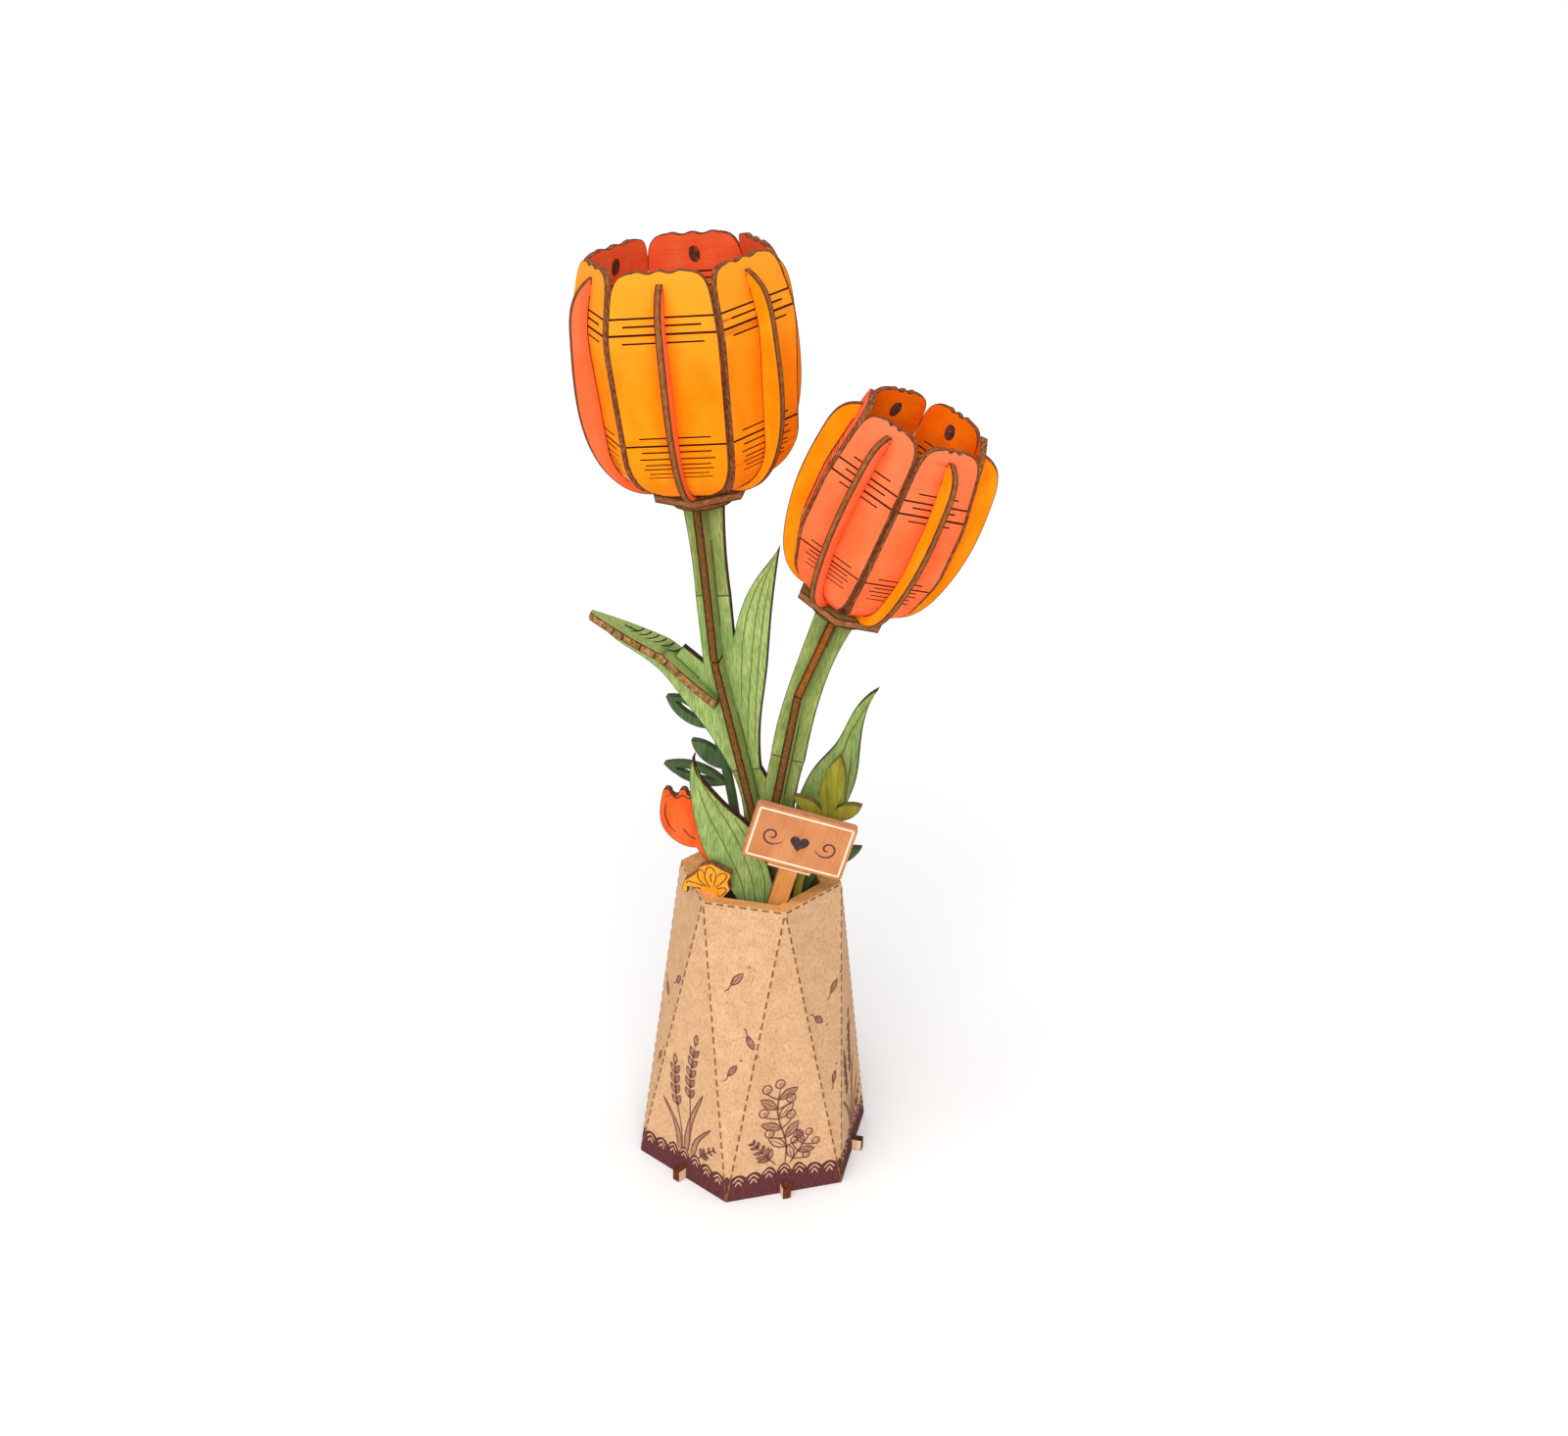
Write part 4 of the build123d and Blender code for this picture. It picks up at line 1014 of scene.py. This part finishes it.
def print_panels(k):
    """Band and plants on a standing panel, and drifting leaves on the hanging one beside it."""
    standing, hanging = standing_place(k), hanging_place(k)
    name = "vase_%%s_%d" % (k + 1)
    foot_band(standing).piece(name % "band", PLUM, VASE)
    band_tip(hanging).piece(name % "band_tip", PLUM, VASE)
    band_arcs(standing).piece(name % "band_arcs", KRAFT, VASE)
    ink, wash = pens(standing)
    if k % 2:
        draw_meadow(ink, wash)
    else:
        draw_berry_bush(ink, wash)
    ink.piece(name % "plants", INK, VASE)
    wash.piece(name % "plant_wash", WASH, VASE)
    ink, wash = pens(hanging)
    draw_drift(ink, wash, DRIFTS[k % len(DRIFTS)])
    ink.piece(name % "drift", INK, VASE)
    wash.piece(name % "drift_wash", WASH, VASE)


def scallop_height(share):
    """Height of the scallops at a share of the band."""
    return between(*SCALLOP_HEIGHTS, sin(pi * share) ** SCALLOP_GATHER)


def foot_band(place):
    """Dark band with a scalloped top on a standing panel."""
    marks = Marks(on_sheet(place, -MARK_LIFT))
    half = VASE_BASE / 2 - BAND_INSET
    top = half * (1 - BAND / VASE_HEIGHT)
    steps = SCALLOPS * SCALLOP_STEPS
    outline = [(-half, 0.0), (half, 0.0)]
    for step in range(steps + 1):
        share = step / steps
        wave = abs(sin(pi * share * SCALLOPS)) ** SCALLOP_ROUND
        outline.append((top - 2 * top * share, BAND + scallop_height(share) * wave))
    marks.patch(outline)
    return marks


def band_tip(place):
    """Dark foot of a hanging panel between two bands."""
    marks = Marks(on_sheet(place, -MARK_LIFT))
    half = VASE_RIM / 2 * BAND / VASE_HEIGHT
    marks.patch([(0.0, 0.0), (half, BAND), (0.0, BAND + half), (-half, BAND)])
    return marks


def band_arcs(place):
    """Pale arcs inside the scallops of the band."""
    marks = Marks(on_sheet(place, -2 * MARK_LIFT))
    top = VASE_BASE / 2 * (1 - BAND / VASE_HEIGHT)
    width = 2 * top / SCALLOPS
    for k in range(SCALLOPS):
        middle = -top + width * (k + 0.5)
        for drop, reach in BAND_ARCS:
            crest = BAND + scallop_height((k + 0.5) / SCALLOPS) - drop
            ends = [(middle + side * width * reach, crest - ARC_RISE) for side in (-1, 1)]
            marks.line(smooth([ends[0], (middle, crest), ends[1]]), LINE, ARC_TAPER)
    return marks


def draw_leaf(ink, wash, root, tip, width, shaded):
    """Pointed leaflet with a mid vein, shaded or plain."""
    outline = leaflet(root, tip, width)
    if shaded:
        wash.patch(outline)
    ink.line(outline, closed=True)
    root = Vector(root)
    along = Vector(tip) - root
    ink.line([root] + [root + along * share for share in VEIN_ENDS], LINE * VEIN_SHARE)


def branch(curve, share):
    """Place, direction and left-hand side at a share of a stalk."""
    k = min(int((len(curve) - 2) * share), len(curve) - 2)
    along = (curve[k + 1] - curve[k]).normalized()
    return curve[k], along, Vector((-along.y, along.x))


def leaning(side, along, lean):
    """Reach sideways and along a stalk."""
    return side * lean[0] + along * lean[1]


def draw_fern(ink, wash, stalk, pairs, reach):
    """Stalk with pairs of leaflets that shorten towards its tip."""
    curve = smooth(stalk, STALK_STEPS)
    ink.line(curve)
    for k in range(1, pairs + 1):
        root, along, side = branch(curve, between(FERN_BARE, 1, k / pairs))
        size = reach * between(*FERN_REACH, k / pairs)
        for sign in (1, -1):
            tip = root + leaning(side * sign, along, FERN_LEAN) * size
            draw_leaf(ink, wash, root, tip, size * FERN_WIDTH, sign > 0)


def draw_ear(ink, wash, stalk, grains):
    curve = smooth(stalk, STALK_STEPS)
    ink.line(curve)
    for k in range(grains):
        root, along, side = branch(curve, between(EAR_BARE, 1, k / grains))
        for sign in (1, -1):
            draw_leaf(ink, wash, root, root + leaning(side * sign, along, GRAIN_LEAN), GRAIN_WIDTH, sign < 0)
    draw_leaf(ink, wash, curve[-1], curve[-1] + branch(curve, 1)[1] * GRAIN_TIP, GRAIN_WIDTH, False)


def draw_blade(ink, wash, root, tip, lean, width):
    middle = (Vector(root) + Vector(tip)) / 2 + Vector((lean, 0))
    spine = smooth([root, middle, tip], BLADE_STEPS)
    foot, swell = BLADE_FOOT
    left, right = [], []
    for k, spot in enumerate(spine):
        share = k / (len(spine) - 1)
        half = width / 2 * (1 - share) ** BLADE_POINT * min(1, foot + swell * share)
        left.append(spot - Vector((half, 0)))
        right.append(spot + Vector((half, 0)))
    wash.patch(left + right[::-1])
    ink.line(left)
    ink.line(right)


def draw_berries(ink, wash, stalk, count, size):
    """Twig with berries and leaves on opposite sides, and a berry at its tip."""
    curve = smooth(stalk, STALK_STEPS)
    ink.line(curve, LINE * BOLD)
    for k in range(count):
        root, along, side = branch(curve, between(TWIG_BARE, 1, k / count))
        side = side * (1 if k % 2 else -1)
        berry = root + leaning(side, along, BERRY_LEAN) * size
        bend = root + leaning(side, along, BERRY_BEND) * size
        ink.line(smooth([root, bend, berry - along * size]))
        draw_berry(ink, wash, berry, size)
        tip = root + leaning(side, along, BERRY_LEAF_LEAN) * size
        draw_leaf(ink, wash, root, tip, BERRY_LEAF_WIDTH * size, k % SHADED_OF > 0)
    draw_berry(ink, wash, curve[-1] + Vector((0, size)), size)


def draw_berry(ink, wash, middle, size):
    ink.line(round_dot(middle, size), closed=True)
    wash.patch(round_dot(middle + Vector(BERRY_SHADE) * size, BERRY_SHADE_SIZE * size))


def draw_meadow(ink, wash):
    for ear in EARS:
        draw_ear(ink, wash, *ear)
    for blade in BLADES:
        draw_blade(ink, wash, *blade)
    draw_fern(ink, wash, *MEADOW_FERN)


def draw_berry_bush(ink, wash):
    for twig in TWIGS:
        draw_berries(ink, wash, *twig)
    draw_fern(ink, wash, *BUSH_FERN)


def draw_drift(ink, wash, leaves):
    """Loose leaves, each with a bent stalk and a speck past its tip."""
    middle, end = DRIFT_STALK
    distance, radius, steps = DRIFT_SPECK
    for root, tip, width in leaves:
        draw_leaf(ink, wash, root, tip, width, True)
        root, tip = Vector(root), Vector(tip)
        away = root - tip
        stalk = smooth([root, root + away * middle + Vector((DRIFT_BEND, 0)), root + away * end])
        ink.line(stalk, LINE * DRIFT_SHARE)
        ink.patch(round_dot(tip - away * distance, radius, steps))


def perforate_folds():
    """Dashes along every fold of the sleeve and below its rim."""
    dashes = Marks(Vector)
    for k in range(SIDES):
        n = (k + 1) % SIDES
        hanging, standing, last = hanging_place(k), standing_place(k), standing_place(k - 1)
        dash_fold(dashes, VASE_FEET[k], VASE_RIMS[k], last, hanging)
        dash_fold(dashes, VASE_FEET[k], VASE_RIMS[n], hanging, standing)
        drop = hanging.to_3x3() @ Vector((0, -MARK_LIFT, -RIM_DASH_DROP)) * MM
        dash_fold(dashes, VASE_RIMS[k] + drop, VASE_RIMS[n] + drop, hanging, hanging)
    dashes.piece("vase_perforations", PERFORATION, VASE)


def dash_fold(dashes, start, end, left, right):
    """Dashes along a fold, half on each of its two panels."""
    length, gap, half = [value * MM for value in DASH]
    along = (end - start).normalized()
    left_out, right_out = -heading(left, Y), -heading(right, Y)
    left_away = along.cross(left_out).normalized()
    right_away = -along.cross(right_out).normalized()
    middle_out = (left_out + right_out).normalized()
    lift = MARK_LIFT * MM
    sides = [left_away * half + left_out * lift, middle_out * lift, right_away * half + right_out * lift]
    for k in range(int((end - start).length / (length + gap))):
        near = k * (length + gap) + gap / 2
        spots = [start + along * reach for reach in (near, near + length)]
        first = dashes.add([spot + side for spot in spots for side in sides])
        for corner in (first, first + 1):
            dashes.faces.append((corner, corner + 1, corner + 4, corner + 3))


def set_floor():
    mesh = bpy.data.meshes.new("floor")
    reach = FLOOR_REACH
    corners = [(-reach, -reach, 0), (reach, -reach, 0), (reach, reach, 0), (-reach, reach, 0)]
    mesh.from_pydata(corners, [], [(0, 1, 2, 3)])
    paint = bpy.data.materials.new("floor_white")
    paint.use_nodes = True
    feed(paint.node_tree.nodes["Principled BSDF"],
         {"Base Color": FULL_WHITE, "Roughness": FLOOR_ROUGH, "Specular IOR Level": 0.0})
    mesh.materials.append(paint)
    new_object("floor", mesh)


def set_world():
    """Even ambient light, seen directly as plain white."""
    world = bpy.data.worlds.new("studio")
    world.use_nodes = True
    tree = world.node_tree
    ambient = tree.nodes["Background"]
    feed(ambient, {"Color": FULL_WHITE, "Strength": AMBIENT})
    backdrop = add_node(tree, "Background", {"Color": FULL_WHITE})
    seen = add_node(tree, "LightPath", {})
    inputs = {"Fac": seen.outputs["Is Camera Ray"], 1: ambient.outputs["Background"],
              2: backdrop.outputs["Background"]}
    either = add_node(tree, "MixShader", inputs)
    feed(tree.nodes["World Output"], {"Surface": either.outputs["Shader"]})
    bpy.context.scene.world = world


def set_lights():
    for name, (power, spread, direction) in LIGHTS.items():
        light = bpy.data.lights.new(name, "SUN")
        light.energy = power
        light.angle = radians(spread)
        lamp = new_object(name, light)
        lamp.rotation_euler = Vector(direction).to_track_quat("-Z", "Y").to_euler()


def set_camera():
    optics = bpy.data.cameras.new("camera")
    optics.lens = CAMERA_LENS
    optics.sensor_width = CAMERA_SENSOR
    optics.sensor_fit = "HORIZONTAL"
    optics.clip_start = CAMERA_NEAR
    camera = new_object("camera", optics)
    forward = Vector(CAMERA_FORWARD).normalized()
    right = forward.cross(Vector(CAMERA_UP)).normalized()
    up = right.cross(forward)
    turn = Matrix((right, up, -forward)).transposed().to_4x4()
    camera.matrix_world = Matrix.Translation(CAMERA_SPOT) @ turn
    bpy.context.scene.camera = camera


dress_heads()
dress_stems()
dress_standing()
dress_bent_leaf()
dress_vase()
mark_plants()
mark_sign()
bpy.context.scene.view_settings.view_transform = "Standard"
set_floor()
set_world()
set_lights()
set_camera()
